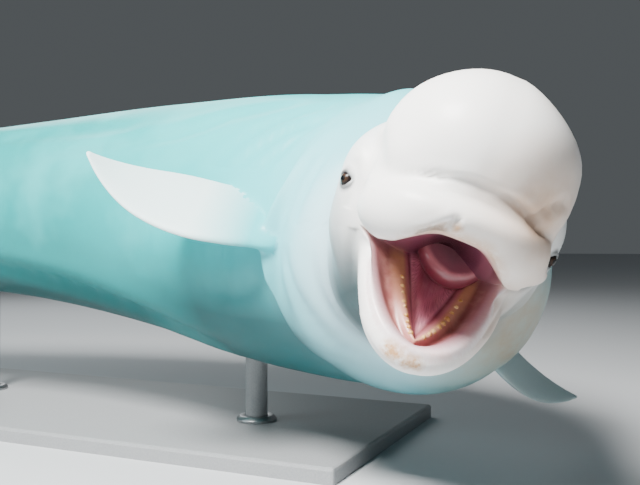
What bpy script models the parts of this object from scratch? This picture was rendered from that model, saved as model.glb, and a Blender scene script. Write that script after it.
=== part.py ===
"""Beluga whale as a still, life-size display model.

The whale turns its head to its right with the mouth wide open.
It is held on a flat base by two short rods.
Units are metres and +Z is up.
"""
import math
import random

import bmesh
import bpy
import numpy as np

# named sizes of the whale, in metres and degrees
BODY_LENGTH = 4.0
ROLL_DEGREES = 21.8
GAPE_DEGREES = 41.0
JAW_JOINT_BACK = 0.330
JAW_JOINT_UP = -0.050
MELON_UP = 0.104
MELON_HEIGHT = 0.139
MELON_TAPER_LEFT = 0.42
MELON_TAPER_RIGHT = 0.12
EYE_BACK = 0.270
EYE_RADIUS = 0.017
EYE_SUNK = 0.010
LID_THICKNESS = 0.006
LID_OVAL = 0.82
LID_FORWARD = EYE_SUNK - 0.001
LID_REACH = EYE_RADIUS * 0.98
GAP = 0.0003
MERGE = 0.00002
TEETH_PER_SIDE = 8
TOOTH_RADIUS = 0.0042
TOOTH_HEIGHT = 0.011
RIDGE_HEIGHT = 0.012
FLIPPER_LENGTH = 0.425
FLIPPER_CHORD = 0.220
FLIPPER_THICKNESS = 0.046
FLUKE_SPAN = 0.50
FLUKE_CHORD = 0.30
FLUKE_THICKNESS = 0.045

# where the midpoint between the eyes stands in the display frame
EYE_POINT = (1.5535, -0.4190, 0.5970)

# cuts between the nodes of the trunk, measured behind the snout
HEAD_END = 0.52
NECK_END = 0.70
CHEST_END = 1.20
TORSO_END = 2.20
LOIN_END = 2.95
TAIL_END = 3.86

# base plate and rods
BASE_LENGTH = 1.90
BASE_WIDTH = 0.80
BASE_THICKNESS = 0.04
BASE_BEVEL = 0.008
ROD_RADIUS = 0.032
ROD_BACKS = (1.32, 2.45)

# mesh density
AROUND = 40
HEAD_ROWS = 20
MOUTH_ROWS = 14
SMOOTH_ROUNDS = 8

# trunk sections: behind the snout, half width, half depth, centre height
SECTIONS = np.array([
    (0.10, 0.060, 0.060, 0.030),
    (0.20, 0.130, 0.130, 0.020),
    (0.35, 0.168, 0.170, -0.010),
    (0.42, 0.196, 0.190, -0.040),
    (0.50, 0.258, 0.245, -0.084),
    (0.75, 0.313, 0.341, -0.046),
    (1.10, 0.352, 0.376, -0.027),
    (1.60, 0.366, 0.350, -0.008),
    (2.10, 0.335, 0.304, 0.000),
    (2.60, 0.255, 0.262, 0.008),
    (3.05, 0.162, 0.195, 0.018),
    (3.45, 0.085, 0.130, 0.024),
    (3.70, 0.052, 0.082, 0.026),
    (3.86, 0.040, 0.040, 0.026),
])

# direction of the spine: behind the snout, heading in degrees
HEADINGS = np.array([
    (0.00, 23.0),
    (0.27, 23.0),
    (0.42, 19.0),
    (0.60, 25.5),
    (0.80, 51.5),
    (1.00, 67.6),
    (1.40, 75.6),
    (1.90, 88.7),
    (2.40, 98.7),
    (3.20, 95.0),
    (4.00, 92.5),
])

# climb of the spine: behind the snout, degrees
CLIMBS = np.array([
    (0.0, 0.0),
    (0.4, 0.0),
    (0.8, 1.0),
    (1.4, 3.4),
    (2.4, 0.7),
    (4.0, 0.7),
])

# fold of blubber on the inner side of the bent neck, by angle from the top towards the right side:
# degrees, crest behind the snout, height, fall behind the crest
COLLAR = np.array([
    (-40.0, 0.72, 0.000, 0.080),
    (0.0, 0.72, 0.020, 0.080),
    (20.0, 0.72, 0.030, 0.080),
    (42.0, 0.72, 0.010, 0.060),
    (65.0, 0.74, 0.010, 0.050),
    (90.0, 0.76, 0.018, 0.035),
    (111.0, 0.82, 0.030, 0.028),
    (122.0, 0.81, 0.030, 0.028),
    (135.0, 0.71, 0.024, 0.030),
    (147.0, 0.62, 0.016, 0.035),
    (165.0, 0.56, 0.000, 0.040),
])
COLLAR_FRONT = 0.110

# half oval of the lower lip: reach from the joint, half width, wider share on the left side,
# shift to the side, thickness at the joint and the tip
JAW_REACH = 0.289
JAW_HALF_WIDTH = 0.114
JAW_LEFT_SHARE = 1.08
JAW_SHIFT = -0.004
LIP_RADIUS_BACK = 0.029
LIP_RADIUS_TIP = 0.024

# loops from the lips into the throat: upper front back, upper front height, jaw reach,
# jaw height, jaw side, corner back, corner side, corner height, pointedness
MOUTH_LOOPS = np.array([
    (0.020, -0.038, 0.306, 0.015, 0.131, 0.238, 0.146, -0.068, 0.00),
    (0.034, -0.042, 0.292, 0.026, 0.113, 0.242, 0.130, -0.072, 0.00),
    (0.050, -0.041, 0.277, 0.018, 0.094, 0.248, 0.112, -0.078, 0.15),
    (0.070, -0.036, 0.268, 0.000, 0.078, 0.255, 0.094, -0.080, 0.25),
    (0.090, -0.032, 0.259, 0.011, 0.058, 0.268, 0.070, -0.082, 0.40),
    (0.115, -0.028, 0.240, -0.006, 0.049, 0.282, 0.056, -0.082, 0.85),
    (0.180, -0.027, 0.175, -0.014, 0.034, 0.295, 0.036, -0.075, 0.60),
    (0.250, -0.040, 0.070, 0.000, 0.020, 0.305, 0.022, -0.068, 0.00),
])
THROAT_POINT = (0.315, -0.014, -0.062)
HUB_POINT = (0.340, 0.0, -0.030)
CORNER_ANGLE = math.radians(88.0)
GUM_LOOP = 4.0

GAPE = math.radians(GAPE_DEGREES)


# curves and blends

def along(x, table, column):
    """Smooth curve through the rows of a table."""
    xs = table[:, 0]
    ys = table[:, column]
    x = np.clip(x, xs[0], xs[-1])
    slopes = np.gradient(ys, xs)
    i = np.clip(np.searchsorted(xs, x) - 1, 0, len(xs) - 2)
    h = xs[i + 1] - xs[i]
    t = (x - xs[i]) / h
    start = (2 * t**3 - 3 * t**2 + 1) * ys[i] + (t**3 - 2 * t**2 + t) * h * slopes[i]
    end = (3 * t**2 - 2 * t**3) * ys[i + 1] + (t**3 - t**2) * h * slopes[i + 1]
    return start + end


def smooth_step(x, low, high):
    """Soft ramp from 0 at low to 1 at high."""
    t = np.clip((x - low) / (high - low), 0.0, 1.0)
    return t * t * (3.0 - 2.0 * t)


def smooth_min(a, b, k):
    """Smaller of two distances with a fillet of size k."""
    h = np.maximum(k - np.abs(a - b), 0.0) / k
    return np.minimum(a, b) - h * h * k / 4.0


# distances to the masses of the head, in straight body coordinates
# (behind the snout, to the right, up)

def ellipsoid(p, centre, radii, pitch=0.0, yaw=0.0):
    q = p - np.array(centre)
    if yaw:
        c = math.cos(yaw)
        s = math.sin(yaw)
        q = np.stack([q[:, 0] * c + q[:, 1] * s, q[:, 1] * c - q[:, 0] * s, q[:, 2]], 1)
    if pitch:
        c = math.cos(pitch)
        s = math.sin(pitch)
        q = np.stack([q[:, 0] * c + q[:, 2] * s, q[:, 1], q[:, 2] * c - q[:, 0] * s], 1)
    radii = np.array(radii)
    near = np.linalg.norm(q / radii, axis=1)
    slope = np.linalg.norm(q / radii**2, axis=1)
    return near * (near - 1.0) / np.maximum(slope, 1e-9)


def jaw_point(reach, side, height):
    """Point of the opened jaw: reach from the joint, side, height above the jaw line."""
    back = JAW_JOINT_BACK - reach * math.cos(GAPE) - height * math.sin(GAPE)
    up = JAW_JOINT_UP - reach * math.sin(GAPE) + height * math.cos(GAPE)
    return (back, side, up)


def trunk(p):
    back = p[:, 0]
    wide = along(back, SECTIONS, 1)
    deep = along(back, SECTIONS, 2)
    middle = along(back, SECTIONS, 3)
    q = np.sqrt((p[:, 1] / wide)**2 + ((p[:, 2] - middle) / deep)**2)
    d = (q - 1.0) * np.minimum(wide, deep)
    front = SECTIONS[0, 0] - back
    d = np.where(front > 0.0, np.sqrt(np.maximum(d, 0.0)**2 + front**2), d)
    angle = np.degrees(np.arctan2(p[:, 1], p[:, 2] - middle))
    behind = back - along(angle, COLLAR, 1)
    fall = np.where(behind < 0.0, COLLAR_FRONT, along(angle, COLLAR, 3))
    d = d - np.maximum(along(angle, COLLAR, 2), 0.0) * np.exp(-(behind / fall)**2)
    crest = smooth_step(back, 1.70, 2.00) * (1.0 - smooth_step(back, 2.60, 2.95))
    crest = crest * np.exp(-(p[:, 1] / 0.030)**2) * (p[:, 2] > middle)
    return d - RIDGE_HEIGHT * crest


def upper_head(p):
    """Distance to the skull, the domed melon, the upper lip with its two lobes and the cheeks."""
    m = np.stack([p[:, 0], np.abs(p[:, 1]), p[:, 2]], 1)
    d = trunk(p)
    d = smooth_min(d, ellipsoid(p, (0.430, 0.0, 0.015), (0.200, 0.180, 0.228)), 0.070)
    temple = ellipsoid(p, (0.305, 0.0, 0.035), (0.112, 0.212, 0.150))
    cheek = ellipsoid(p, (0.322, 0.0, -0.060), (0.095, 0.200, 0.130))
    d = smooth_min(d, smooth_min(temple, cheek, 0.050), 0.026)
    rise = np.clip((p[:, 2] - MELON_UP) / MELON_HEIGHT, 0.0, 1.0)
    taper = np.where(p[:, 1] < 0.0, MELON_TAPER_LEFT, MELON_TAPER_RIGHT)
    q = np.stack([p[:, 0], np.abs(p[:, 1]) / (1.0 - taper * rise**3), p[:, 2]], 1)
    melon = ellipsoid(q, (0.188, 0.026, MELON_UP), (0.166, 0.140, MELON_HEIGHT))
    melon = smooth_min(melon, ellipsoid(q, (0.180, 0.0, MELON_UP), (0.168, 0.148, MELON_HEIGHT)), 0.030)
    jowl = ellipsoid(m, (0.178, 0.080, 0.052), (0.110, 0.080, 0.050))
    d = smooth_min(d, smooth_min(melon, jowl, 0.040), 0.030)
    lip = ellipsoid(p, (0.135, 0.0, -0.010), (0.128, 0.146, 0.046))
    lobe = ellipsoid(m, (0.122, 0.093, -0.040), (0.090, 0.056, 0.042), yaw=math.radians(28.0))
    soft = 0.024 + 0.030 * smooth_step(p[:, 0], 0.09, 0.17)
    return smooth_min(d, smooth_min(lip, lobe, 0.050), soft)


def lower_head(p):
    """Distance to the lower jaw: a round lip along a half oval and a thin floor."""
    d = ellipsoid(p, jaw_point(0.12, JAW_SHIFT, -0.036), (0.168, 0.105, 0.032), pitch=GAPE)
    forward = JAW_JOINT_BACK - p[:, 0]
    below = JAW_JOINT_UP - p[:, 2]
    reach = forward * math.cos(GAPE) + below * math.sin(GAPE)
    height = forward * math.sin(GAPE) - below * math.cos(GAPE)
    x = np.maximum(reach, 0.0) / JAW_REACH
    half_width = np.where(p[:, 1] < JAW_SHIFT, JAW_HALF_WIDTH * JAW_LEFT_SHARE, JAW_HALF_WIDTH)
    y = np.abs(p[:, 1] - JAW_SHIFT) / half_width
    near = np.maximum(np.hypot(x, y), 1e-6)
    slope = np.hypot(x / JAW_REACH, y / half_width) / near
    beside = (near - 1.0) / np.maximum(slope, 1e-6)
    radius = LIP_RADIUS_BACK + (LIP_RADIUS_TIP - LIP_RADIUS_BACK) * np.clip(x, 0.0, 1.0)
    lip = np.sqrt(beside**2 + height**2 + np.minimum(reach, 0.0)**2) - radius
    return smooth_min(d, lip, 0.018)


def flesh(p):
    """Distance to the outer skin with the mouth filled in."""
    throat = ellipsoid(p, (0.470, 0.0, -0.140), (0.200, 0.180, 0.140))
    d = smooth_min(upper_head(p), throat, 0.060)
    reach = (JAW_JOINT_BACK - p[:, 0]) * math.cos(GAPE) + (JAW_JOINT_UP - p[:, 2]) * math.sin(GAPE)
    fillet = 0.012 + 0.034 * smooth_step(-p[:, 1], 0.02, 0.09) * (1.0 - smooth_step(reach, 0.04, 0.14))
    return smooth_min(d, lower_head(p), fillet)


def gradient(p):
    step = 5e-4
    out = np.empty_like(p)
    for axis in range(3):
        shift = np.zeros(3)
        shift[axis] = step
        out[:, axis] = (flesh(p + shift) - flesh(p - shift)) / (2.0 * step)
    return out


def onto_flesh(p, steps):
    """Slide points onto the outer skin."""
    for _ in range(steps):
        g = gradient(p)
        move = g * (flesh(p) / np.maximum((g * g).sum(1), 0.05))[:, None]
        size = np.linalg.norm(move, axis=1)
        move *= (np.minimum(size, 0.02) / np.maximum(size, 1e-12))[:, None]
        p = p - move
    return p


def cast(origin, direction):
    """Outer skin met by rays coming in towards the origin."""
    reach = np.full(len(direction), 0.75)
    for _ in range(60):
        d = flesh(origin + direction * reach[:, None])
        reach = np.maximum(reach - np.clip(d, -0.02, 0.1) * 0.85, 0.02)
    return origin + direction * reach[:, None]


def turn(start, end, amount):
    """Directions part of the way from start to end."""
    angle = np.arccos(np.clip((start * end).sum(1), -1.0, 1.0))
    angle = np.maximum(angle, 1e-6)
    a = np.sin((1.0 - amount) * angle) / np.sin(angle)
    b = np.sin(amount * angle) / np.sin(angle)
    return a[:, None] * start + b[:, None] * end


# the mouth

def mouth_loop(angles, row):
    """Closed loop of the mouth lining; row 0 is the edge of the lips."""
    numbers = np.arange(len(MOUTH_LOOPS), dtype=float)
    table = np.column_stack([numbers, MOUTH_LOOPS])
    front_back, front_up, reach, height, jaw_side, corner_back, corner_side, corner_up, point = [
        along(row, table, column) for column in range(1, 10)
    ]
    turned = (angles + math.pi) % (2.0 * math.pi) - math.pi
    side = np.sign(turned)
    turned = np.abs(turned)
    upper = turned <= CORNER_ANGLE
    out = np.zeros((len(angles), 3))
    p = turned[upper] / CORNER_ANGLE
    sweep = 1.0 - np.cos(p * math.pi / 2.0)
    lobe = smooth_step(p, 0.14, 0.48) * (1.0 - smooth_step(p, 0.64, 1.05))
    lobe = lobe * 0.036 * max(0.0, 1.0 - row / 3.0)
    out[upper, 0] = front_back + (corner_back - front_back) * sweep
    out[upper, 1] = corner_side * np.sin(p * math.pi / 2.0)
    out[upper, 2] = front_up + (corner_up - front_up) * p**2 - lobe
    lower = ~upper
    q = (math.pi - turned[lower]) / (math.pi - CORNER_ANGLE)
    sweep = (1.0 - point) * (1.0 - np.cos(q * math.pi / 2.0)) + point * q
    spread = (1.0 - point) * np.sin(q * math.pi / 2.0) + point * q
    da = JAW_JOINT_BACK - corner_back
    du = corner_up - JAW_JOINT_UP
    corner_reach = da * math.cos(GAPE) - du * math.sin(GAPE)
    corner_height = da * math.sin(GAPE) + du * math.cos(GAPE)
    r = reach + (corner_reach - reach) * sweep
    h = height + (corner_height - height) * q**4
    out[lower, 0] = JAW_JOINT_BACK - r * math.cos(GAPE) - h * math.sin(GAPE)
    jaw_side = np.where(side[lower] < 0.0, jaw_side * JAW_LEFT_SHARE, jaw_side)
    out[lower, 1] = jaw_side * spread + (corner_side - jaw_side) * q**4
    out[lower, 2] = JAW_JOINT_UP - r * math.sin(GAPE) + h * math.cos(GAPE)
    out[:, 1] *= side
    out[lower, 1] += JAW_SHIFT * (1.0 - q**4)
    throat_shift = THROAT_POINT[1] * smooth_step(row, 2.0, 5.0)
    out[upper, 1] += throat_shift
    out[lower, 1] += throat_shift * q
    return out


def skin_rings(trunk_backs, around, head_rows, mouth_rows, rounds):
    """Rings from the tail over the head and the lips into the throat."""
    angles = np.arange(around) * 2.0 * math.pi / around
    radial = np.stack([np.zeros(around), np.sin(angles), np.cos(angles)], 1)
    rows = []
    for back in trunk_backs:
        middle = along(np.array([back]), SECTIONS, 3)[0]
        rows.append(cast(np.array([back, 0.0, middle]), radial))
    hub = np.array(HUB_POINT)
    rim = mouth_loop(angles, 0.0)
    to_rim = rim - hub
    to_rim /= np.linalg.norm(to_rim, axis=1)[:, None]
    rim = cast(hub, to_rim)
    first = len(rows)
    for k in range(1, head_rows + 1):
        share = k / head_rows
        back = HEAD_END + (hub[0] - HEAD_END) * smooth_step(share, -0.15, 0.55)
        middle = along(np.array([back]), SECTIONS, 3)[0]
        lean = max(0.0, (share - 0.12) / 0.88)**1.25
        origin = np.array([back, 0.0, middle]) * (1.0 - lean) + hub * lean
        rows.append(cast(origin, turn(radial, to_rim, lean)))
    last = len(rows) - 1
    shift = rim - mouth_loop(angles, 0.0)
    for k in range(1, mouth_rows + 1):
        row = k / mouth_rows * (len(MOUTH_LOOPS) - 1)
        rows.append(mouth_loop(angles, row) + shift * max(0.0, 1.0 - row / 1.5))
    rings = np.array(rows)
    share = 0.6 * np.clip((last - np.arange(first, last)) / 6.0, 0.0, 1.0)[:, None, None]
    for _ in range(rounds):
        inner = rings[first:last]
        around_mean = np.roll(inner, 1, 1) + np.roll(inner, -1, 1)
        mean = (rings[first - 1:last - 1] + rings[first + 1:last + 1] + around_mean) / 4.0
        moved = inner * (1.0 - share) + mean * share
        rings[first:last] = onto_flesh(moved.reshape(-1, 3), 2).reshape(moved.shape)
    return rings


# the pose

def spine(back):
    """Position and directions of the spine: backwards, to the right, up."""
    grid = np.linspace(-0.1, BODY_LENGTH + 0.3, 2201)
    step = grid[1] - grid[0]
    heading = np.radians(along(grid, HEADINGS, 1))
    climb = np.radians(along(grid, CLIMBS, 1))
    roll = np.radians(np.interp(grid, [1.0, BODY_LENGTH], [ROLL_DEGREES, ROLL_DEGREES * 0.8]))
    tail = np.stack([-np.sin(heading) * np.cos(climb), np.cos(heading) * np.cos(climb), np.sin(climb)], 1)
    steps = (tail[1:] + tail[:-1]) / 2.0 * step
    centre = np.concatenate([[np.zeros(3)], np.cumsum(steps, 0)])
    eye_row = int(round((EYE_BACK - grid[0]) / step))
    centre = centre - centre[eye_row] + np.array(EYE_POINT)
    level = np.stack([-np.cos(heading), -np.sin(heading), np.zeros_like(heading)], 1)
    plumb = np.cross(tail, level)
    right = level * np.cos(roll)[:, None] + plumb * np.sin(roll)[:, None]
    up = plumb * np.cos(roll)[:, None] - level * np.sin(roll)[:, None]
    found = []
    for lines in (centre, tail, right, up):
        found.append(np.stack([np.interp(back, grid, lines[:, k]) for k in range(3)], -1))
    return found


def posed(points):
    """Straight body coordinates into the display frame."""
    flat = np.asarray(points, dtype=float).reshape(-1, 3)
    centre, tail, right, up = spine(flat[:, 0])
    out = centre + flat[:, 1:2] * right + flat[:, 2:3] * up
    return out.reshape(np.shape(points))


# scene helpers

def material(name, colour, roughness):
    made = bpy.data.materials.new(name)
    made.use_nodes = True
    shader = made.node_tree.nodes["Principled BSDF"]
    shader.inputs["Base Color"].default_value = (*colour, 1.0)
    shader.inputs["Roughness"].default_value = roughness
    made.diffuse_color = (*colour, 1.0)
    return made


def add_object(name, mesh, collection):
    made = bpy.data.objects.new(name, mesh)
    collection.objects.link(made)
    return made


def add_rings(name, rings, collection, start_point=None, end_point=None):
    """Closed body through rings; an end is a flat cap or runs into a point."""
    made = bmesh.new()
    rows = []
    for ring in rings:
        rows.append([made.verts.new(tuple(point)) for point in ring])
    count = len(rows[0])
    for row, following in zip(rows[:-1], rows[1:]):
        for k in range(count):
            j = (k + 1) % count
            made.faces.new((row[k], row[j], following[j], following[k]))
    for row, point in ((rows[0], start_point), (rows[-1], end_point)):
        if point is None:
            made.faces.new(row)
            continue
        tip = made.verts.new(tuple(point))
        for k in range(count):
            made.faces.new((row[k], row[(k + 1) % count], tip))
    bmesh.ops.recalc_face_normals(made, faces=made.faces[:])
    bmesh.ops.triangulate(made, faces=[face for face in made.faces if len(face.verts) == 4])
    mesh = bpy.data.meshes.new(name)
    made.to_mesh(mesh)
    made.free()
    return add_object(name, mesh, collection)


def combine(target, tool, operation):
    """Exact Boolean of two solids."""
    modifier = target.modifiers.new("combine", "BOOLEAN")
    modifier.operation = operation
    modifier.solver = "EXACT"
    modifier.object = tool
    bpy.context.view_layer.update()
    depsgraph = bpy.context.evaluated_depsgraph_get()
    mesh = bpy.data.meshes.new_from_object(target.evaluated_get(depsgraph))
    made = bmesh.new()
    made.from_mesh(mesh)
    bmesh.ops.remove_doubles(made, verts=made.verts[:], dist=MERGE)
    bmesh.ops.dissolve_degenerate(made, edges=made.edges[:], dist=MERGE)
    open_edges = [edge for edge in made.edges if edge.is_boundary]
    bmesh.ops.holes_fill(made, edges=open_edges, sides=4)
    made.to_mesh(mesh)
    made.free()
    target.modifiers.clear()
    old = target.data
    target.data = mesh
    bpy.data.meshes.remove(old)
    mesh.name = target.name


def keep_largest(target):
    """Drop the slivers that a cut leaves beside the main body."""
    made = bmesh.new()
    made.from_mesh(target.data)
    groups = []
    seen = set()
    for start in made.verts:
        if start in seen:
            continue
        seen.add(start)
        group = [start]
        for vertex in group:
            for edge in vertex.link_edges:
                other = edge.other_vert(vertex)
                if other not in seen:
                    seen.add(other)
                    group.append(other)
        groups.append(group)
    groups.sort(key=len)
    for group in groups[:-1]:
        bmesh.ops.delete(made, geom=group, context="VERTS")
    made.to_mesh(target.data)
    made.free()


def swollen(source, amount, collection):
    """Copy of a solid with its skin moved outwards."""
    made = bmesh.new()
    made.from_mesh(source.data)
    made.normal_update()
    moves = [vertex.normal * amount * min(4.0, vertex.calc_shell_factor()) for vertex in made.verts]
    for vertex, move in zip(made.verts, moves):
        vertex.co += move
    mesh = bpy.data.meshes.new(source.name + "_swollen")
    made.to_mesh(mesh)
    made.free()
    return add_object(mesh.name, mesh, collection)


def set_material(part, made):
    part.data.materials.clear()
    part.data.materials.append(made)


for old in list(bpy.data.objects):
    bpy.data.objects.remove(old, do_unlink=True)

whale = bpy.data.collections.new("beluga_whale")
bpy.context.scene.collection.children.link(whale)
cutters = bpy.data.collections.new("cutters")
bpy.context.scene.collection.children.link(cutters)
cutters.hide_render = True


def as_cutter(part):
    part.hide_render = True
    part.display_type = "WIRE"
    return part


# trunk rows with a thin gap at every cut

trunk_backs = [TAIL_END]
cut_rows = []
CUTS = (LOIN_END, TORSO_END, CHEST_END, NECK_END, HEAD_END)
ROWS_BETWEEN = (7, 5, 6, 9, 3)
reached = TAIL_END
for cut, count in zip(CUTS, ROWS_BETWEEN):
    rear_face = cut + GAP / 2.0
    for k in range(1, count + 1):
        trunk_backs.append(reached + (rear_face - reached) * k / count)
    cut_rows.append(len(trunk_backs))
    trunk_backs.append(cut - GAP / 2.0)
    reached = cut - GAP / 2.0

rings = skin_rings(trunk_backs, AROUND, HEAD_ROWS, MOUTH_ROWS, SMOOTH_ROUNDS)
posed_rings = posed(rings)
throat_point = posed(np.array(THROAT_POINT))
tail_point = posed(np.array([TAIL_END + 0.02, 0.0, 0.026]))

tail_stock = add_rings("tail_stock", posed_rings[:cut_rows[0]], whale, start_point=tail_point)
loin = add_rings("loin", posed_rings[cut_rows[0]:cut_rows[1]], whale)
torso = add_rings("torso", posed_rings[cut_rows[1]:cut_rows[2]], whale)
chest = add_rings("chest", posed_rings[cut_rows[2]:cut_rows[3]], whale)
neck = add_rings("neck", posed_rings[cut_rows[3]:cut_rows[4]], whale)
head = add_rings("head", posed_rings[cut_rows[4]:], whale, end_point=throat_point)

# lower jaw, parted from the head through the corners of the mouth

JAW_CUT = (
    (-0.150, -0.100),
    (0.120, -0.092),
    (0.240, -0.079),
    (0.420, -0.344),
    (0.300, -0.480),
    (-0.150, -0.480),
)


def jaw_cutter(name, outline, offset):
    """Prism around the lower jaw, its sides moved outwards by the offset."""
    half_width = 0.40
    centre = np.mean(np.array(outline), axis=0)
    rows = []
    for side in (-half_width, half_width):
        ring = []
        for back, up in outline:
            shift = np.array([back, up]) - centre
            reach = np.linalg.norm(shift)
            point = centre + shift * (reach + offset) / reach
            ring.append((point[0], side, point[1]))
        rows.append(posed(np.array(ring)))
    return as_cutter(add_rings(name, rows, cutters))


lower_jaw = add_object("lower_jaw", head.data.copy(), whale)
combine(lower_jaw, jaw_cutter("jaw_keep", JAW_CUT, 0.0), "INTERSECT")
combine(head, jaw_cutter("jaw_take", JAW_CUT, 1.5 * GAP), "DIFFERENCE")
keep_largest(lower_jaw)
keep_largest(head)

# eyes with ringed lids

eye_points = {}
for word, side in (("right", 1.0), ("left", -1.0)):
    skin_point = cast(np.array([EYE_BACK, 0.0, 0.0]), np.array([[0.0, side, 0.0]]))[0]
    centre, tail, right, up = spine(np.array([EYE_BACK]))
    slope = gradient(skin_point[None, :])[0]
    outward = tail[0] * slope[0] + right[0] * slope[1] + up[0] * slope[2]
    outward /= np.linalg.norm(outward)
    middle = posed(skin_point) - outward * EYE_SUNK
    long_way = tail[0] - outward * np.dot(tail[0], outward)
    long_way /= np.linalg.norm(long_way)
    eye_points[word] = (middle, outward, long_way, np.cross(outward, long_way))


def add_ball(name, middle, radius, collection):
    made = bmesh.new()
    bmesh.ops.create_uvsphere(made, u_segments=16, v_segments=10, radius=radius)
    bmesh.ops.translate(made, verts=made.verts[:], vec=tuple(middle))
    mesh = bpy.data.meshes.new(name)
    made.to_mesh(mesh)
    made.free()
    return add_object(name, mesh, collection)


def add_lid(name, middle, outward, long_way, high_way, collection):
    """Oval roll of skin around an eye."""
    rows = []
    steps = 16
    for i in range(steps):
        turned = 2.0 * math.pi * i / steps
        spoke = long_way * math.cos(turned) + high_way * math.sin(turned) * LID_OVAL
        centre = middle + outward * LID_FORWARD + spoke * LID_REACH
        ring = []
        for j in range(6):
            roll = 2.0 * math.pi * j / 6
            unit = spoke / np.linalg.norm(spoke)
            ring.append(centre + (unit * math.cos(roll) + outward * math.sin(roll)) * LID_THICKNESS)
        rows.append(ring)
    made = bmesh.new()
    verts = [[made.verts.new(tuple(point)) for point in ring] for ring in rows]
    for i in range(steps):
        row = verts[i]
        following = verts[(i + 1) % steps]
        for j in range(6):
            k = (j + 1) % 6
            made.faces.new((row[j], row[k], following[k], following[j]))
    bmesh.ops.recalc_face_normals(made, faces=made.faces[:])
    mesh = bpy.data.meshes.new(name)
    made.to_mesh(mesh)
    made.free()
    return add_object(name, mesh, collection)


for word, (middle, outward, long_way, high_way) in eye_points.items():
    lid = as_cutter(add_lid("lid_" + word, middle, outward, long_way, high_way, cutters))
    combine(head, lid, "UNION")
    socket = as_cutter(add_ball("socket_" + word, middle, EYE_RADIUS + GAP, cutters))
    combine(head, socket, "DIFFERENCE")
    add_ball("eye_" + word, middle, EYE_RADIUS, whale)

# blowhole, a crescent slot behind the melon

BLOWHOLE_BACK = 0.375
BLOWHOLE_WIDTH = 0.034
BLOWHOLE_CURVE = 0.014
BLOWHOLE_SLOT = 0.006
top_point = cast(np.array([BLOWHOLE_BACK, 0.0, 0.0]), np.array([[0.0, 0.0, 1.0]]))[0]
rows = []
for i in range(9):
    t = i / 4.0 - 1.0
    size = BLOWHOLE_SLOT * (1.05 - 0.75 * t * t)
    centre = top_point + np.array([BLOWHOLE_CURVE * t * t, BLOWHOLE_WIDTH * t, -0.010 * t * t])
    ring = []
    for j in range(8):
        roll = 2.0 * math.pi * j / 8
        ring.append(centre + np.array([math.cos(roll) * size, 0.0, math.sin(roll) * size * 2.0]))
    rows.append(posed(np.array(ring)))
combine(head, as_cutter(add_rings("blowhole", rows, cutters)), "DIFFERENCE")

# peg teeth along the gum of the lower jaw

random.seed(7)
tooth_angles = []
for k in range(TEETH_PER_SIDE):
    share = 0.12 + 0.60 * k / (TEETH_PER_SIDE - 1)
    tooth_angles.append(math.pi - share * (math.pi - CORNER_ANGLE))
jaw_up = np.array(jaw_point(0.0, 0.0, 1.0)) - np.array(jaw_point(0.0, 0.0, 0.0))
for side in (1.0, -1.0):
    for k, angle in enumerate(tooth_angles):
        root = mouth_loop(np.array([side * angle]), GUM_LOOP)[0]
        radius = TOOTH_RADIUS * random.uniform(0.85, 1.1)
        height = TOOTH_HEIGHT * random.uniform(0.75, 1.05)
        lean = np.array([random.uniform(-0.12, 0.12), random.uniform(-0.12, 0.12), 0.0])
        rows = []
        for rise, width in ((-0.020, 1.0), (height * 0.5, 0.95), (height * 0.85, 0.6)):
            centre = root + (jaw_up + lean) * rise
            ring = []
            for j in range(7):
                turned = 2.0 * math.pi * j / 7
                spot = np.array([math.cos(turned), math.sin(turned), 0.0]) * radius * width
                spot[2] = -jaw_up[0] * spot[0] / jaw_up[2]
                ring.append(centre + spot)
            rows.append(posed(np.array(ring)))
        tip = posed(root + (jaw_up + lean) * height)
        tooth = as_cutter(add_rings("tooth_%g_%d" % (side, k), rows, cutters, end_point=tip))
        combine(lower_jaw, tooth, "UNION")

# tongue resting on the floor of the mouth

TONGUE_REACH = 0.016
TONGUE_SIDE = -0.036
TONGUE_HALF_LENGTH = 0.086
TONGUE_HALF_WIDTH = 0.076
TONGUE_HALF_HEIGHT = 0.024
TONGUE_UP = 0.031
TONGUE_TILT = 0.022
TONGUE_NARROWING = 0.12
TONGUE_FLATNESS = 1.8
made = bmesh.new()
bmesh.ops.create_uvsphere(made, u_segments=20, v_segments=12, radius=1.0)
points = np.array([vertex.co[:] for vertex in made.verts])
flat = np.zeros_like(points)
for k, (forward, side, rise) in enumerate(points):
    reach = TONGUE_REACH + forward * TONGUE_HALF_LENGTH
    crown = math.tanh(TONGUE_FLATNESS * rise) / math.tanh(TONGUE_FLATNESS)
    height = TONGUE_UP + crown * TONGUE_HALF_HEIGHT - TONGUE_TILT * forward
    width = TONGUE_HALF_WIDTH * (1.0 - TONGUE_NARROWING * forward)
    flat[k] = jaw_point(reach, TONGUE_SIDE + side * width, height)
for vertex, point in zip(made.verts, posed(flat)):
    vertex.co = tuple(point)
bmesh.ops.recalc_face_normals(made, faces=made.faces[:])
mesh = bpy.data.meshes.new("tongue")
made.to_mesh(mesh)
made.free()
tongue = add_object("tongue", mesh, whale)
for part in (head, lower_jaw):
    combine(tongue, as_cutter(swollen(part, GAP, cutters)), "DIFFERENCE")
keep_largest(tongue)

# flippers and flukes as lofted blades


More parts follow.
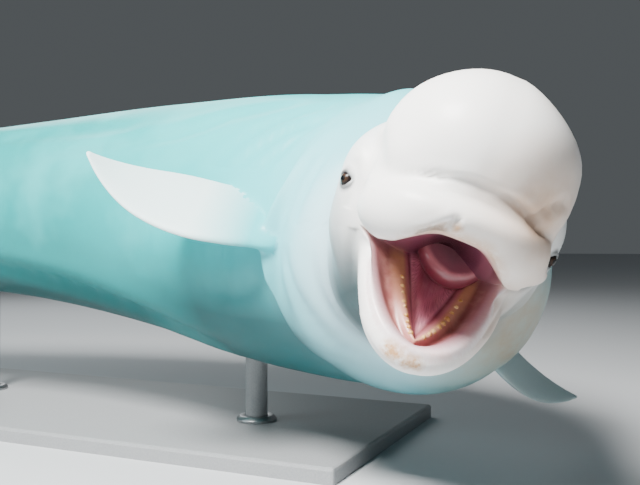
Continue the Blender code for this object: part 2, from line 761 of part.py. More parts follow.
def blade(name, root, along_dir, edge_dir, length, sections, curl_dir, collection):
    """Blade through sections: share of length, leading edge, trailing edge, thickness, curl."""
    flat_dir = np.cross(along_dir, edge_dir)
    rows = []
    for share, leading, trailing, thickness, curl in sections:
        centre = root + along_dir * share * length + curl_dir * curl
        half = (leading - trailing) / 2.0
        middle = (leading + trailing) / 2.0
        ring = []
        for j in range(14):
            turned = 2.0 * math.pi * j / 14
            across = middle + half * math.cos(turned)
            fullness = math.sin(turned) * (0.80 + 0.30 * math.cos(turned))
            ring.append(centre + edge_dir * across + flat_dir * fullness * thickness / 2.0)
        rows.append(ring)
    last = sections[-1]
    tip = np.array(rows[-1]).mean(0) + along_dir * last[3] * 0.4
    return add_rings(name, rows, collection, end_point=tip)


FLIPPER_SECTIONS = (
    (-0.12, 0.38, -0.42, 1.00, 0.000),
    (0.02, 0.42, -0.44, 1.00, 0.000),
    (0.18, 0.47, -0.50, 0.90, -0.004),
    (0.36, 0.49, -0.52, 0.78, -0.010),
    (0.54, 0.45, -0.47, 0.66, -0.010),
    (0.70, 0.36, -0.36, 0.54, -0.002),
    (0.83, 0.23, -0.24, 0.42, 0.014),
    (0.93, 0.09, -0.13, 0.30, 0.034),
    (0.985, -0.01, -0.07, 0.18, 0.048),
)


def flipper(name, side, root_back, root_up, direction, pitch_degrees):
    """Flipper from its root on the flank along a body direction."""
    centre, tail, right, up = [lines[0] for lines in spine(np.array([root_back]))]
    skin_point = cast(np.array([root_back, 0.0, root_up]), np.array([[0.0, side, 0.0]]))[0]
    root = posed(skin_point)
    span = tail * direction[0] + right * direction[1] + up * direction[2]
    span /= np.linalg.norm(span)
    edge = -tail - span * np.dot(-tail, span)
    edge /= np.linalg.norm(edge)
    flat_dir = np.cross(span, edge) * side
    pitch = math.radians(pitch_degrees)
    edge = edge * math.cos(pitch) - flat_dir * math.sin(pitch)
    curl = np.cross(span, edge) * side
    sections = []
    for share, leading, trailing, thickness, bend in FLIPPER_SECTIONS:
        row = (share, leading * FLIPPER_CHORD, trailing * FLIPPER_CHORD, thickness * FLIPPER_THICKNESS, bend)
        sections.append(row)
    return blade(name, root, span, edge, FLIPPER_LENGTH, sections, curl, whale)


flipper_right = flipper("flipper_right", 1.0, 0.90, -0.13, (0.560, 0.790, -0.040), 50.0)
flipper_left = flipper("flipper_left", -1.0, 0.84, -0.13, (-0.120, -0.938, -0.312), 45.0)
for node in (neck, chest):
    shell = as_cutter(swollen(node, GAP, cutters))
    for part in (flipper_right, flipper_left):
        combine(part, shell, "DIFFERENCE")
for part in (flipper_right, flipper_left):
    keep_largest(part)

FLUKE_SECTIONS = (
    (-0.04, 0.48, -0.40, 1.00),
    (0.08, 0.46, -0.48, 0.90),
    (0.24, 0.36, -0.56, 0.74),
    (0.42, 0.22, -0.58, 0.58),
    (0.60, 0.07, -0.54, 0.46),
    (0.76, -0.09, -0.50, 0.34),
    (0.90, -0.27, -0.50, 0.24),
    (0.98, -0.42, -0.52, 0.14),
)


def fluke(name, side):
    centre, tail, right, up = [lines[0] for lines in spine(np.array([TAIL_END - 0.08]))]
    sections = []
    for share, leading, trailing, thickness in FLUKE_SECTIONS:
        row = (share, leading * FLUKE_CHORD, trailing * FLUKE_CHORD, thickness * FLUKE_THICKNESS, 0.0)
        sections.append(row)
    root = centre + up * 0.026 + right * side * 0.022
    return blade(name, root, right * side, -tail, FLUKE_SPAN, sections, up, whale)


fluke_right = fluke("fluke_right", 1.0)
fluke_left = fluke("fluke_left", -1.0)
tail_shell = as_cutter(swollen(tail_stock, GAP, cutters))
for part in (fluke_right, fluke_left):
    combine(part, tail_shell, "DIFFERENCE")

# stand: flat base and two rods up to the belly


def add_cylinder(name, x, y, low, high, radius, collection):
    made = bmesh.new()
    bmesh.ops.create_cone(
        made, cap_ends=True, segments=32, radius1=radius, radius2=radius, depth=high - low
    )
    bmesh.ops.translate(made, verts=made.verts[:], vec=(x, y, (low + high) / 2.0))
    mesh = bpy.data.meshes.new(name)
    made.to_mesh(mesh)
    made.free()
    return add_object(name, mesh, collection)


rod_spots = []
for name, back, node in zip(("stand_rod_front", "stand_rod_rear"), ROD_BACKS, (torso, loin)):
    angles = np.arange(72) * math.pi / 36.0
    radial = np.stack([np.zeros(72), np.sin(angles), np.cos(angles)], 1)
    middle = along(np.array([back]), SECTIONS, 3)[0]
    section = posed(cast(np.array([back, 0.0, middle]), radial))
    x, y, z = section[np.argmin(section[:, 2])]
    rod_spots.append((x, y))
    rod = add_cylinder(name, x, y, BASE_THICKNESS + GAP, z + 0.06, ROD_RADIUS, whale)
    combine(rod, as_cutter(swollen(node, GAP, cutters)), "DIFFERENCE")

base_x = (rod_spots[0][0] + rod_spots[1][0]) / 2.0
base_y = (rod_spots[0][1] + rod_spots[1][1]) / 2.0
made = bmesh.new()
bmesh.ops.create_cube(made, size=1.0)
bmesh.ops.scale(made, verts=made.verts[:], vec=(BASE_LENGTH, BASE_WIDTH, BASE_THICKNESS))
bmesh.ops.translate(made, verts=made.verts[:], vec=(base_x, base_y, BASE_THICKNESS / 2.0))
upper_edges = []
for edge in made.edges:
    upright = abs(edge.verts[0].co.z - edge.verts[1].co.z) > BASE_THICKNESS / 2.0
    top = min(vertex.co.z for vertex in edge.verts) > BASE_THICKNESS / 2.0
    if upright or top:
        upper_edges.append(edge)
bmesh.ops.bevel(made, geom=upper_edges, offset=BASE_BEVEL, segments=2, profile=0.5, affect="EDGES")
mesh = bpy.data.meshes.new("stand_base")
made.to_mesh(mesh)
made.free()
add_object("stand_base", mesh, whale)

# materials

skin_white = material("skin_white", (0.86, 0.85, 0.82), 0.38)
skin_jaw = material("skin_jaw", (0.86, 0.81, 0.79), 0.36)
tongue_pink = material("tongue_pink", (0.62, 0.27, 0.32), 0.30)
eye_dark = material("eye_dark", (0.012, 0.010, 0.012), 0.08)
stand_grey = material("stand_grey", (0.30, 0.31, 0.32), 0.45)
for part in whale.objects:
    if part.name.startswith("stand_"):
        set_material(part, stand_grey)
    elif part.name.startswith("eye_"):
        set_material(part, eye_dark)
    elif part.name == "tongue":
        set_material(part, tongue_pink)
    elif part.name == "lower_jaw":
        set_material(part, skin_jaw)
    else:
        set_material(part, skin_white)
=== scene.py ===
"""Life-size display model of a beluga whale on a plain stand, dressed for its final render."""
import math
import random

import bmesh
import bpy
import mathutils
import numpy as np
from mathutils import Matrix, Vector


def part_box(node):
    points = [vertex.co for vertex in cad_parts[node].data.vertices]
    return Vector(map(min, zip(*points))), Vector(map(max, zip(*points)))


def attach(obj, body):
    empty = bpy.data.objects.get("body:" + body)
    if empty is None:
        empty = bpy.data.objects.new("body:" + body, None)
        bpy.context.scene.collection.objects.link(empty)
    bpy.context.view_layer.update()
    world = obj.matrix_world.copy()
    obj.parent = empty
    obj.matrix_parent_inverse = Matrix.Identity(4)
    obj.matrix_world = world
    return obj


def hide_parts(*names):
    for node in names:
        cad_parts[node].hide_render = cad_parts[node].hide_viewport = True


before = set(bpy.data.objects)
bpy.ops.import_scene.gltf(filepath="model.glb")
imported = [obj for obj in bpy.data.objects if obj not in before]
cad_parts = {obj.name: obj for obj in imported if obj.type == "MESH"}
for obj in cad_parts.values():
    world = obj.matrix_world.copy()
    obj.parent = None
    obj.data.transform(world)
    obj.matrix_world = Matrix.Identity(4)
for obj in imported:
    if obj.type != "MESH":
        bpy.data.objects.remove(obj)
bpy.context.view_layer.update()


# Camera: level with the whale's face, about a metre and a half in front of its eyes.
# The eyes' midpoint is where the spine below is hung from, so both read it.
EYE_POINT = np.array((1.5535, -0.4190, 0.5970))
VIEW_TURN = math.radians(24.0)
EYES_IN_VIEW = (0.229, 1.43, 0.041)
FOCAL_LENGTH = 45.0
SENSOR_WIDTH = 36.0

across = np.array((math.cos(VIEW_TURN), math.sin(VIEW_TURN), 0.0))
ahead = np.array((-math.sin(VIEW_TURN), math.cos(VIEW_TURN), 0.0))
eye_offset = across * EYES_IN_VIEW[0] + ahead * EYES_IN_VIEW[1] + np.array((0.0, 0.0, EYES_IN_VIEW[2]))
lens = bpy.data.cameras.new("view_camera")
lens.lens = FOCAL_LENGTH
lens.sensor_width = SENSOR_WIDTH
lens.clip_end = 100.0
camera = bpy.data.objects.new("view_camera", lens)
camera.location = EYE_POINT - eye_offset
camera.rotation_euler = (math.radians(90.0), 0.0, VIEW_TURN)
bpy.context.scene.collection.objects.link(camera)
bpy.context.scene.camera = camera


# Whale's body: thick white skin over blubber, round in section, deepest behind the flippers.
# It is worked out in straight body coordinates (behind the snout, to the right, up) from
# sections and masses, then bent along the spine into the swimming pose.
BODY_LENGTH = 4.0
TAIL_END = 3.86
HEAD_END = 0.52
ROLL_DEGREES = 21.8
GAPE = math.radians(41.0)
JAW_JOINT_BACK = 0.330
JAW_JOINT_UP = -0.050
EYE_BACK = 0.270
MELON_UP = 0.104
MELON_HEIGHT = 0.139
MELON_TAPER_LEFT = 0.42
MELON_TAPER_RIGHT = 0.12
RIDGE_HEIGHT = 0.012
COLLAR_FRONT = 0.110

# behind the snout, half width, half depth, centre height
SECTIONS = np.array([
    (0.10, 0.060, 0.060, 0.030),
    (0.20, 0.130, 0.130, 0.020),
    (0.35, 0.168, 0.170, -0.010),
    (0.42, 0.196, 0.190, -0.040),
    (0.50, 0.258, 0.245, -0.084),
    (0.75, 0.313, 0.341, -0.046),
    (1.10, 0.352, 0.376, -0.027),
    (1.60, 0.366, 0.350, -0.008),
    (2.10, 0.335, 0.304, 0.000),
    (2.60, 0.255, 0.262, 0.008),
    (3.05, 0.162, 0.195, 0.018),
    (3.45, 0.085, 0.130, 0.024),
    (3.70, 0.052, 0.082, 0.026),
    (3.86, 0.040, 0.040, 0.026),
])

# behind the snout, heading in degrees
HEADINGS = np.array([
    (0.00, 23.0),
    (0.27, 23.0),
    (0.42, 19.0),
    (0.60, 25.5),
    (0.80, 51.5),
    (1.00, 67.6),
    (1.40, 75.6),
    (1.90, 88.7),
    (2.40, 98.7),
    (3.20, 95.0),
    (4.00, 92.5),
])

# behind the snout, climb in degrees
CLIMBS = np.array([
    (0.0, 0.0),
    (0.4, 0.0),
    (0.8, 1.0),
    (1.4, 3.4),
    (2.4, 0.7),
    (4.0, 0.7),
])

# fold of blubber on the inner side of the bent neck, by degrees from the top towards the right:
# crest behind the snout, height, fall behind the crest
COLLAR = np.array([
    (-40.0, 0.72, 0.000, 0.080),
    (0.0, 0.72, 0.020, 0.080),
    (20.0, 0.72, 0.030, 0.080),
    (42.0, 0.72, 0.010, 0.060),
    (65.0, 0.74, 0.010, 0.050),
    (90.0, 0.76, 0.018, 0.035),
    (111.0, 0.82, 0.030, 0.028),
    (122.0, 0.81, 0.030, 0.028),
    (135.0, 0.71, 0.024, 0.030),
    (147.0, 0.62, 0.016, 0.035),
    (165.0, 0.56, 0.000, 0.040),
])

# half oval of the lower lip: reach from the joint, half width, wider share on the left side,
# shift to the side, thickness at the joint and the tip
JAW_REACH = 0.289
JAW_HALF_WIDTH = 0.114
JAW_LEFT_SHARE = 1.08
JAW_SHIFT = -0.004
LIP_RADIUS_BACK = 0.029
LIP_RADIUS_TIP = 0.024

# loops from the lips into the throat: upper front back, upper front height, jaw reach,
# jaw height, jaw side, corner back, corner side, corner height, pointedness
MOUTH_LOOPS = np.array([
    (0.020, -0.038, 0.306, 0.015, 0.131, 0.238, 0.146, -0.068, 0.00),
    (0.034, -0.042, 0.292, 0.026, 0.113, 0.242, 0.130, -0.072, 0.00),
    (0.050, -0.041, 0.277, 0.018, 0.094, 0.248, 0.112, -0.078, 0.15),
    (0.070, -0.036, 0.268, 0.000, 0.078, 0.255, 0.094, -0.080, 0.25),
    (0.090, -0.032, 0.259, 0.011, 0.058, 0.268, 0.070, -0.082, 0.40),
    (0.115, -0.028, 0.240, -0.006, 0.049, 0.282, 0.056, -0.082, 0.85),
    (0.180, -0.027, 0.175, -0.014, 0.034, 0.295, 0.036, -0.075, 0.60),
    (0.250, -0.040, 0.070, 0.000, 0.020, 0.305, 0.022, -0.068, 0.00),
])
THROAT_POINT = (0.315, -0.014, -0.062)
HUB_POINT = (0.340, 0.0, -0.030)
CORNER_ANGLE = math.radians(88.0)
SKIN_AROUND = 224
HEAD_ROWS = 116
MOUTH_ROWS = 54
SMOOTH_ROUNDS = 18


def along(x, table, column):
    """Smooth curve through the rows of a table."""
    xs = table[:, 0]
    ys = table[:, column]
    x = np.clip(x, xs[0], xs[-1])
    slopes = np.gradient(ys, xs)
    i = np.clip(np.searchsorted(xs, x) - 1, 0, len(xs) - 2)
    h = xs[i + 1] - xs[i]
    t = (x - xs[i]) / h
    start = (2 * t**3 - 3 * t**2 + 1) * ys[i] + (t**3 - 2 * t**2 + t) * h * slopes[i]
    end = (3 * t**2 - 2 * t**3) * ys[i + 1] + (t**3 - t**2) * h * slopes[i + 1]
    return start + end


def smooth_step(x, low, high):
    """Soft ramp from 0 at low to 1 at high."""
    t = np.clip((x - low) / (high - low), 0.0, 1.0)
    return t * t * (3.0 - 2.0 * t)


def smooth_min(a, b, k):
    """Smaller of two distances with a fillet of size k."""
    h = np.maximum(k - np.abs(a - b), 0.0) / k
    return np.minimum(a, b) - h * h * k / 4.0


def unit(way):
    """Direction of length 1."""
    return way / np.linalg.norm(way)


def ellipsoid(p, centre, radii, pitch=0.0, yaw=0.0):
    """Distance to an ellipsoid."""
    q = p - np.array(centre)
    for axis, angle in ((1, yaw), (2, pitch)):
        if angle:
            x = q[:, 0] * math.cos(angle) + q[:, axis] * math.sin(angle)
            q[:, axis] = q[:, axis] * math.cos(angle) - q[:, 0] * math.sin(angle)
            q[:, 0] = x
    radii = np.array(radii)
    near = np.linalg.norm(q / radii, axis=1)
    slope = np.linalg.norm(q / radii**2, axis=1)
    return near * (near - 1.0) / np.maximum(slope, 1e-9)


def jaw_point(reach, side, height):
    """Point of the opened jaw: reach from the joint, side, height above the jaw line."""
    back = JAW_JOINT_BACK - reach * math.cos(GAPE) - height * math.sin(GAPE)
    up = JAW_JOINT_UP - reach * math.sin(GAPE) + height * math.cos(GAPE)
    return (back, side, up)


def jaw_frame(back, up):
    """Reach from the jaw joint and height above the jaw line."""
    forward = JAW_JOINT_BACK - back
    below = JAW_JOINT_UP - up
    reach = forward * math.cos(GAPE) + below * math.sin(GAPE)
    return reach, forward * math.sin(GAPE) - below * math.cos(GAPE)


def trunk(p):
    """Distance to the trunk with its neck fold and the low ridge on its back."""
    back = p[:, 0]
    wide = along(back, SECTIONS, 1)
    deep = along(back, SECTIONS, 2)
    middle = along(back, SECTIONS, 3)
    q = np.sqrt((p[:, 1] / wide)**2 + ((p[:, 2] - middle) / deep)**2)
    d = (q - 1.0) * np.minimum(wide, deep)
    front = SECTIONS[0, 0] - back
    d = np.where(front > 0.0, np.sqrt(np.maximum(d, 0.0)**2 + front**2), d)
    angle = np.degrees(np.arctan2(p[:, 1], p[:, 2] - middle))
    behind = back - along(angle, COLLAR, 1)
    fall = np.where(behind < 0.0, COLLAR_FRONT, along(angle, COLLAR, 3))
    d = d - np.maximum(along(angle, COLLAR, 2), 0.0) * np.exp(-(behind / fall)**2)
    crest = smooth_step(back, 1.70, 2.00) * (1.0 - smooth_step(back, 2.60, 2.95))
    crest = crest * np.exp(-(p[:, 1] / 0.030)**2) * (p[:, 2] > middle)
    return d - RIDGE_HEIGHT * crest


def upper_head(p):
    """Distance to the skull, the domed melon, the upper lip with its two lobes and the cheeks."""
    m = np.stack([p[:, 0], np.abs(p[:, 1]), p[:, 2]], 1)
    d = trunk(p)
    d = smooth_min(d, ellipsoid(p, (0.430, 0.0, 0.015), (0.200, 0.180, 0.228)), 0.070)
    temple = ellipsoid(p, (0.305, 0.0, 0.035), (0.112, 0.212, 0.150))
    cheek = ellipsoid(p, (0.322, 0.0, -0.060), (0.095, 0.200, 0.130))
    d = smooth_min(d, smooth_min(temple, cheek, 0.050), 0.026)
    rise = np.clip((p[:, 2] - MELON_UP) / MELON_HEIGHT, 0.0, 1.0)
    taper = np.where(p[:, 1] < 0.0, MELON_TAPER_LEFT, MELON_TAPER_RIGHT)
    q = np.stack([p[:, 0], np.abs(p[:, 1]) / (1.0 - taper * rise**3), p[:, 2]], 1)
    melon = ellipsoid(q, (0.188, 0.026, MELON_UP), (0.166, 0.140, MELON_HEIGHT))
    melon = smooth_min(melon, ellipsoid(q, (0.180, 0.0, MELON_UP), (0.168, 0.148, MELON_HEIGHT)), 0.030)
    jowl = ellipsoid(m, (0.178, 0.080, 0.052), (0.110, 0.080, 0.050))
    d = smooth_min(d, smooth_min(melon, jowl, 0.040), 0.030)
    lip = ellipsoid(p, (0.135, 0.0, -0.010), (0.128, 0.146, 0.046))
    lobe = ellipsoid(m, (0.122, 0.093, -0.040), (0.090, 0.056, 0.042), yaw=math.radians(28.0))
    soft = 0.024 + 0.030 * smooth_step(p[:, 0], 0.09, 0.17)
    return smooth_min(d, smooth_min(lip, lobe, 0.050), soft)


def lower_head(p):
    """Distance to the lower jaw: a round lip along a half oval and a thin floor."""
    d = ellipsoid(p, jaw_point(0.12, JAW_SHIFT, -0.036), (0.168, 0.105, 0.032), pitch=GAPE)
    reach, height = jaw_frame(p[:, 0], p[:, 2])
    x = np.maximum(reach, 0.0) / JAW_REACH
    half_width = np.where(p[:, 1] < JAW_SHIFT, JAW_HALF_WIDTH * JAW_LEFT_SHARE, JAW_HALF_WIDTH)
    y = np.abs(p[:, 1] - JAW_SHIFT) / half_width
    near = np.maximum(np.hypot(x, y), 1e-6)
    slope = np.hypot(x / JAW_REACH, y / half_width) / near
    beside = (near - 1.0) / np.maximum(slope, 1e-6)
    radius = LIP_RADIUS_BACK + (LIP_RADIUS_TIP - LIP_RADIUS_BACK) * np.clip(x, 0.0, 1.0)
    lip = np.sqrt(beside**2 + height**2 + np.minimum(reach, 0.0)**2) - radius
    return smooth_min(d, lip, 0.018)


def flesh(p):
    """Distance to the outer skin with the mouth filled in."""
    throat = ellipsoid(p, (0.470, 0.0, -0.140), (0.200, 0.180, 0.140))
    d = smooth_min(upper_head(p), throat, 0.060)
    reach, _ = jaw_frame(p[:, 0], p[:, 2])
    fillet = 0.012 + 0.034 * smooth_step(-p[:, 1], 0.02, 0.09) * (1.0 - smooth_step(reach, 0.04, 0.14))
    return smooth_min(d, lower_head(p), fillet)


def gradient(p):
    """Way out of the flesh at each point."""
    step = 5e-4
    out = np.empty_like(p)
    for axis in range(3):
        shift = np.zeros(3)
        shift[axis] = step
        out[:, axis] = (flesh(p + shift) - flesh(p - shift)) / (2.0 * step)
    return out


def onto_flesh(p):
    """Points slid onto the outer skin."""
    g = gradient(p)
    move = g * (flesh(p) / np.maximum((g * g).sum(1), 0.05))[:, None]
    size = np.linalg.norm(move, axis=1)
    return p - move * (np.minimum(size, 0.02) / np.maximum(size, 1e-12))[:, None]


def cast(origin, direction):
    """Outer skin met by rays coming in towards the origin."""
    reach = np.full(len(direction), 0.75)
    for _ in range(60):
        d = flesh(origin + direction * reach[:, None])
        reach = np.maximum(reach - np.clip(d, -0.02, 0.1) * 0.85, 0.02)
    return origin + direction * reach[:, None]


def skin_point(back, up, direction):
    """Outer skin straight out from the middle plane."""
    return cast(np.array([back, 0.0, up]), np.array([direction]))[0]


def turn(start, end, amount):
    """Directions part of the way from start to end."""
    angle = np.maximum(np.arccos(np.clip((start * end).sum(1), -1.0, 1.0)), 1e-6)
    a = np.sin((1.0 - amount) * angle) / np.sin(angle)
    b = np.sin(amount * angle) / np.sin(angle)
    return a[:, None] * start + b[:, None] * end


def mouth_loop(angles, row):
    """Closed loop of the mouth lining; row 0 is the edge of the lips."""
    numbers = np.arange(len(MOUTH_LOOPS), dtype=float)
    table = np.column_stack([numbers, MOUTH_LOOPS])
    front_back, front_up, reach, height, jaw_side, corner_back, corner_side, corner_up, point = [
        along(row, table, column) for column in range(1, 10)
    ]
    turned = (angles + math.pi) % (2.0 * math.pi) - math.pi
    side = np.sign(turned)
    turned = np.abs(turned)
    upper = turned <= CORNER_ANGLE
    out = np.zeros((len(angles), 3))
    p = turned[upper] / CORNER_ANGLE
    sweep = 1.0 - np.cos(p * math.pi / 2.0)
    lobe = smooth_step(p, 0.14, 0.48) * (1.0 - smooth_step(p, 0.64, 1.05))
    lobe = lobe * 0.036 * max(0.0, 1.0 - row / 3.0)
    out[upper, 0] = front_back + (corner_back - front_back) * sweep
    out[upper, 1] = corner_side * np.sin(p * math.pi / 2.0)
    out[upper, 2] = front_up + (corner_up - front_up) * p**2 - lobe
    lower = ~upper
    q = (math.pi - turned[lower]) / (math.pi - CORNER_ANGLE)
    sweep = (1.0 - point) * (1.0 - np.cos(q * math.pi / 2.0)) + point * q
    spread = (1.0 - point) * np.sin(q * math.pi / 2.0) + point * q
    corner_reach, corner_height = jaw_frame(corner_back, corner_up)
    r = reach + (corner_reach - reach) * sweep
    h = height + (corner_height - height) * q**4
    jaw_side = np.where(side[lower] < 0.0, jaw_side * JAW_LEFT_SHARE, jaw_side)
    out[lower] = np.stack(jaw_point(r, jaw_side * spread + (corner_side - jaw_side) * q**4, h), 1)
    out[:, 1] *= side
    out[lower, 1] += JAW_SHIFT * (1.0 - q**4)
    throat_shift = THROAT_POINT[1] * smooth_step(row, 2.0, 5.0)
    out[upper, 1] += throat_shift
    out[lower, 1] += throat_shift * q
    return out


def skin_rings(trunk_backs, angles):
    """Rings from the tail over the head and the lips into the throat, with each ring's row number."""
    around = len(angles)
    radial = np.stack([np.zeros(around), np.sin(angles), np.cos(angles)], 1)
    rows = []
    for back in trunk_backs:
        rows.append(cast(np.array([back, 0.0, along(back, SECTIONS, 3)]), radial))
    hub = np.array(HUB_POINT)
    rim = mouth_loop(angles, 0.0)
    to_rim = rim - hub
    to_rim /= np.linalg.norm(to_rim, axis=1)[:, None]
    rim = cast(hub, to_rim)
    first = len(rows)
    for k in range(1, HEAD_ROWS + 1):
        share = k / HEAD_ROWS
        back = HEAD_END + (hub[0] - HEAD_END) * smooth_step(share, -0.15, 0.55)
        lean = max(0.0, (share - 0.12) / 0.88)**1.25
        origin = np.array([back, 0.0, along(back, SECTIONS, 3)]) * (1.0 - lean) + hub * lean
        rows.append(cast(origin, turn(radial, to_rim, lean)))
    last = len(rows) - 1
    shift = rim - mouth_loop(angles, 0.0)
    numbers = [-(last - k) / HEAD_ROWS for k in range(len(rows))]
    for k in range(1, MOUTH_ROWS + 1):
        row = k / MOUTH_ROWS * (len(MOUTH_LOOPS) - 1)
        rows.append(mouth_loop(angles, row) + shift * max(0.0, 1.0 - row / 1.5))
        numbers.append(row)
    rings = np.array(rows)
    share = 0.6 * np.clip((last - np.arange(first, last)) / 40.0, 0.0, 1.0)[:, None, None]
    for _ in range(SMOOTH_ROUNDS):
        inner = rings[first:last]
        around_mean = np.roll(inner, 1, 1) + np.roll(inner, -1, 1)
        mean = (rings[first - 1:last - 1] + rings[first + 1:last + 1] + around_mean) / 4.0
        moved = inner * (1.0 - share) + mean * share
        rings[first:last] = onto_flesh(moved.reshape(-1, 3)).reshape(moved.shape)
    return rings, np.array(numbers)


def spine(back):
    """Place and directions of the spine: backwards, right, up."""
    grid = np.linspace(-0.1, BODY_LENGTH + 0.3, 2201)
    step = grid[1] - grid[0]
    heading = np.radians(along(grid, HEADINGS, 1))
    climb = np.radians(along(grid, CLIMBS, 1))
    roll = np.radians(np.interp(grid, [1.0, BODY_LENGTH], [ROLL_DEGREES, ROLL_DEGREES * 0.8]))
    tail = np.stack([-np.sin(heading) * np.cos(climb), np.cos(heading) * np.cos(climb), np.sin(climb)], 1)
    steps = (tail[1:] + tail[:-1]) / 2.0 * step
    centre = np.concatenate([[np.zeros(3)], np.cumsum(steps, 0)])
    eye_row = int(round((EYE_BACK - grid[0]) / step))
    centre = centre - centre[eye_row] + EYE_POINT
    level = np.stack([-np.cos(heading), -np.sin(heading), np.zeros_like(heading)], 1)
    plumb = np.cross(tail, level)
    right = level * np.cos(roll)[:, None] + plumb * np.sin(roll)[:, None]
    up = plumb * np.cos(roll)[:, None] - level * np.sin(roll)[:, None]
    found = []
    for lines in (centre, tail, right, up):
        found.append(np.stack([np.interp(back, grid, lines[:, k]) for k in range(3)], -1))
    return found


def posed(points):
    """Straight body coordinates into the display frame."""
    flat = np.asarray(points, dtype=float).reshape(-1, 3)
    centre, tail, right, up = spine(flat[:, 0])
    out = centre + flat[:, 1:2] * right + flat[:, 2:3] * up
    return out.reshape(np.shape(points))


def placed(name, made, *finishes):
    """Smooth object from a finished bmesh."""
    mesh = bpy.data.meshes.new(name)
    made.to_mesh(mesh)
    made.free()
    mesh.shade_smooth()
    for skin_or_paint in finishes:
        mesh.materials.append(skin_or_paint)
    piece = bpy.data.objects.new(name, mesh)
    bpy.context.scene.collection.objects.link(piece)
    return piece


MARKS = ("back", "mouth", "turn")


def lofted(name, rings, marks):
    """Closed tube through rings, run into a point at both ends, with the marks on every vertex."""
    rows, around = rings.shape[:2]
    made = bmesh.new()
    bmesh.ops.create_grid(made, x_segments=around, y_segments=rows - 1, size=1.0)
    points = np.concatenate([rings, rings[:, :1]], axis=1).reshape(-1, 3)
    made.verts.ensure_lookup_table()
    for vertex, point in zip(made.verts, points):
        vertex.co = point
    for word, values in zip(MARKS, marks):
        layer = made.verts.layers.float.new(word)
        values = np.broadcast_to(values, (rows, around))
        spread = np.concatenate([values, values[:, :1]], axis=1).ravel()
        for vertex, value in zip(made.verts, spread):
            vertex[layer] = value
    bmesh.ops.remove_doubles(made, verts=made.verts[:], dist=1e-6)
    bmesh.ops.recalc_face_normals(made, faces=made.faces[:])
    return placed(name, made)


# lines of soft folds in the blubber: three places each as behind the snout and degrees from the
# top towards the right, then half width and depth
FOLDS = (
    ((2.28, 147.0), (1.70, 153.0), (1.22, 171.0), 0.030, 0.016),
    ((1.03, 46.0), (1.22, 57.0), (1.42, 74.0), 0.022, 0.006),
    ((0.88, 47.0), (1.10, 62.0), (1.17, 88.0), 0.018, 0.008),
    ((0.80, 55.0), (1.02, 68.0), (1.11, 90.0), 0.018, 0.009),
    ((0.84, 60.0), (0.90, 74.0), (1.02, 92.0), 0.016, 0.006),
    ((1.24, 62.0), (1.46, 79.0), (1.95, 87.0), 0.022, 0.008),
    ((1.60, 66.0), (1.95, 71.0), (2.50, 62.0), 0.030, 0.006),
    ((1.22, 99.0), (1.27, 114.0), (1.30, 130.0), 0.022, 0.008),
    ((1.36, 100.0), (1.43, 118.0), (1.46, 136.0), 0.024, 0.007),
    ((1.10, 108.0), (1.06, 124.0), (1.16, 146.0), 0.022, 0.010),
    ((0.92, 128.0), (1.04, 139.0), (1.22, 136.0), 0.022, 0.007),
    ((0.57, 104.0), (0.51, 131.0), (0.49, 168.0), 0.016, 0.006),
    ((0.44, 98.0), (0.40, 124.0), (0.40, 165.0), 0.014, 0.006),
    ((0.62, 62.0), (0.57, 74.0), (0.54, 96.0), 0.018, 0.006),
    ((0.95, -70.0), (1.10, -95.0), (1.12, -125.0), 0.030, 0.004),
    ((1.30, -75.0), (1.60, -88.0), (2.10, -84.0), 0.034, 0.004),
    ((0.60, -100.0), (0.55, -135.0), (0.52, -170.0), 0.018, 0.004),
    ((2.20, -148.0), (1.70, -152.0), (1.25, -160.0), 0.034, 0.008),
)
FOLD_SIZE = 0.33
FOLD_STEPS = 24

# creases of the face: three places each as right and up, the fall-off behind the snout,
# then half width and depth
CREASES = (
    ((0.132, 0.014), (0.001, 0.0695), (-0.100, 0.022), 0.19, 0.0055, 0.0075),
    ((-0.030, 0.043), (-0.075, 0.040), (-0.118, 0.014), 0.19, 0.0070, 0.0110),
    ((-0.090, 0.016), (-0.096, 0.052), (-0.140, 0.078), 0.23, 0.0060, 0.0150),
    ((-0.106, 0.020), (-0.122, 0.016), (-0.146, 0.020), 0.23, 0.0050, 0.0080),
    ((0.066, -0.056), (0.040, -0.046), (0.015, -0.010), 0.12, 0.0050, 0.0120),
    ((0.190, 0.120), (0.176, 0.070), (0.150, 0.012), 0.24, 0.0120, 0.0110),
    ((-0.180, 0.110), (-0.166, 0.050), (-0.158, -0.040), 0.26, 0.0110, 0.0070),
    ((0.193, 0.040), (0.175, 0.000), (0.176, -0.050), 0.27, 0.0090, 0.0050),
    ((-0.128, -0.076), (-0.152, -0.072), (-0.196, -0.028), 0.30, 0.0060, 0.0120),
    ((-0.150, -0.070), (-0.146, -0.120), (-0.112, -0.168), 0.26, 0.0070, 0.0060),
    ((-0.200, -0.030), (-0.192, -0.090), (-0.150, -0.150), 0.34, 0.0100, 0.0080),
    ((0.152, -0.076), (0.140, -0.120), (0.096, -0.215), 0.33, 0.0100, 0.0070),
)


def drawn_in(spots, places, half_width, most, roll_share):
    """Depth of one fold along a curve through three places, with a low roll on both sides."""
    start, bend, end = np.array(places)
    nearest = np.full(len(spots), 9.0)
    place = np.zeros(len(spots))
    for k in range(FOLD_STEPS + 1):
        t = k / FOLD_STEPS
        point = (1 - t)**2 * start + 2 * t * (1 - t) * bend + t**2 * end
        reach = np.hypot(spots[:, 0] - point[0], spots[:, 1] - point[1])
        place = np.where(reach < nearest, t, place)
        nearest = np.minimum(nearest, reach)
    fade = np.clip(4.0 * place * (1.0 - place), 0.0, 1.0)**0.5
    groove = np.exp(-(nearest / half_width)**2)
    roll = roll_share * np.exp(-((nearest - 2.2 * half_width) / (1.3 * half_width))**2)
    return most * fade * (groove - roll)


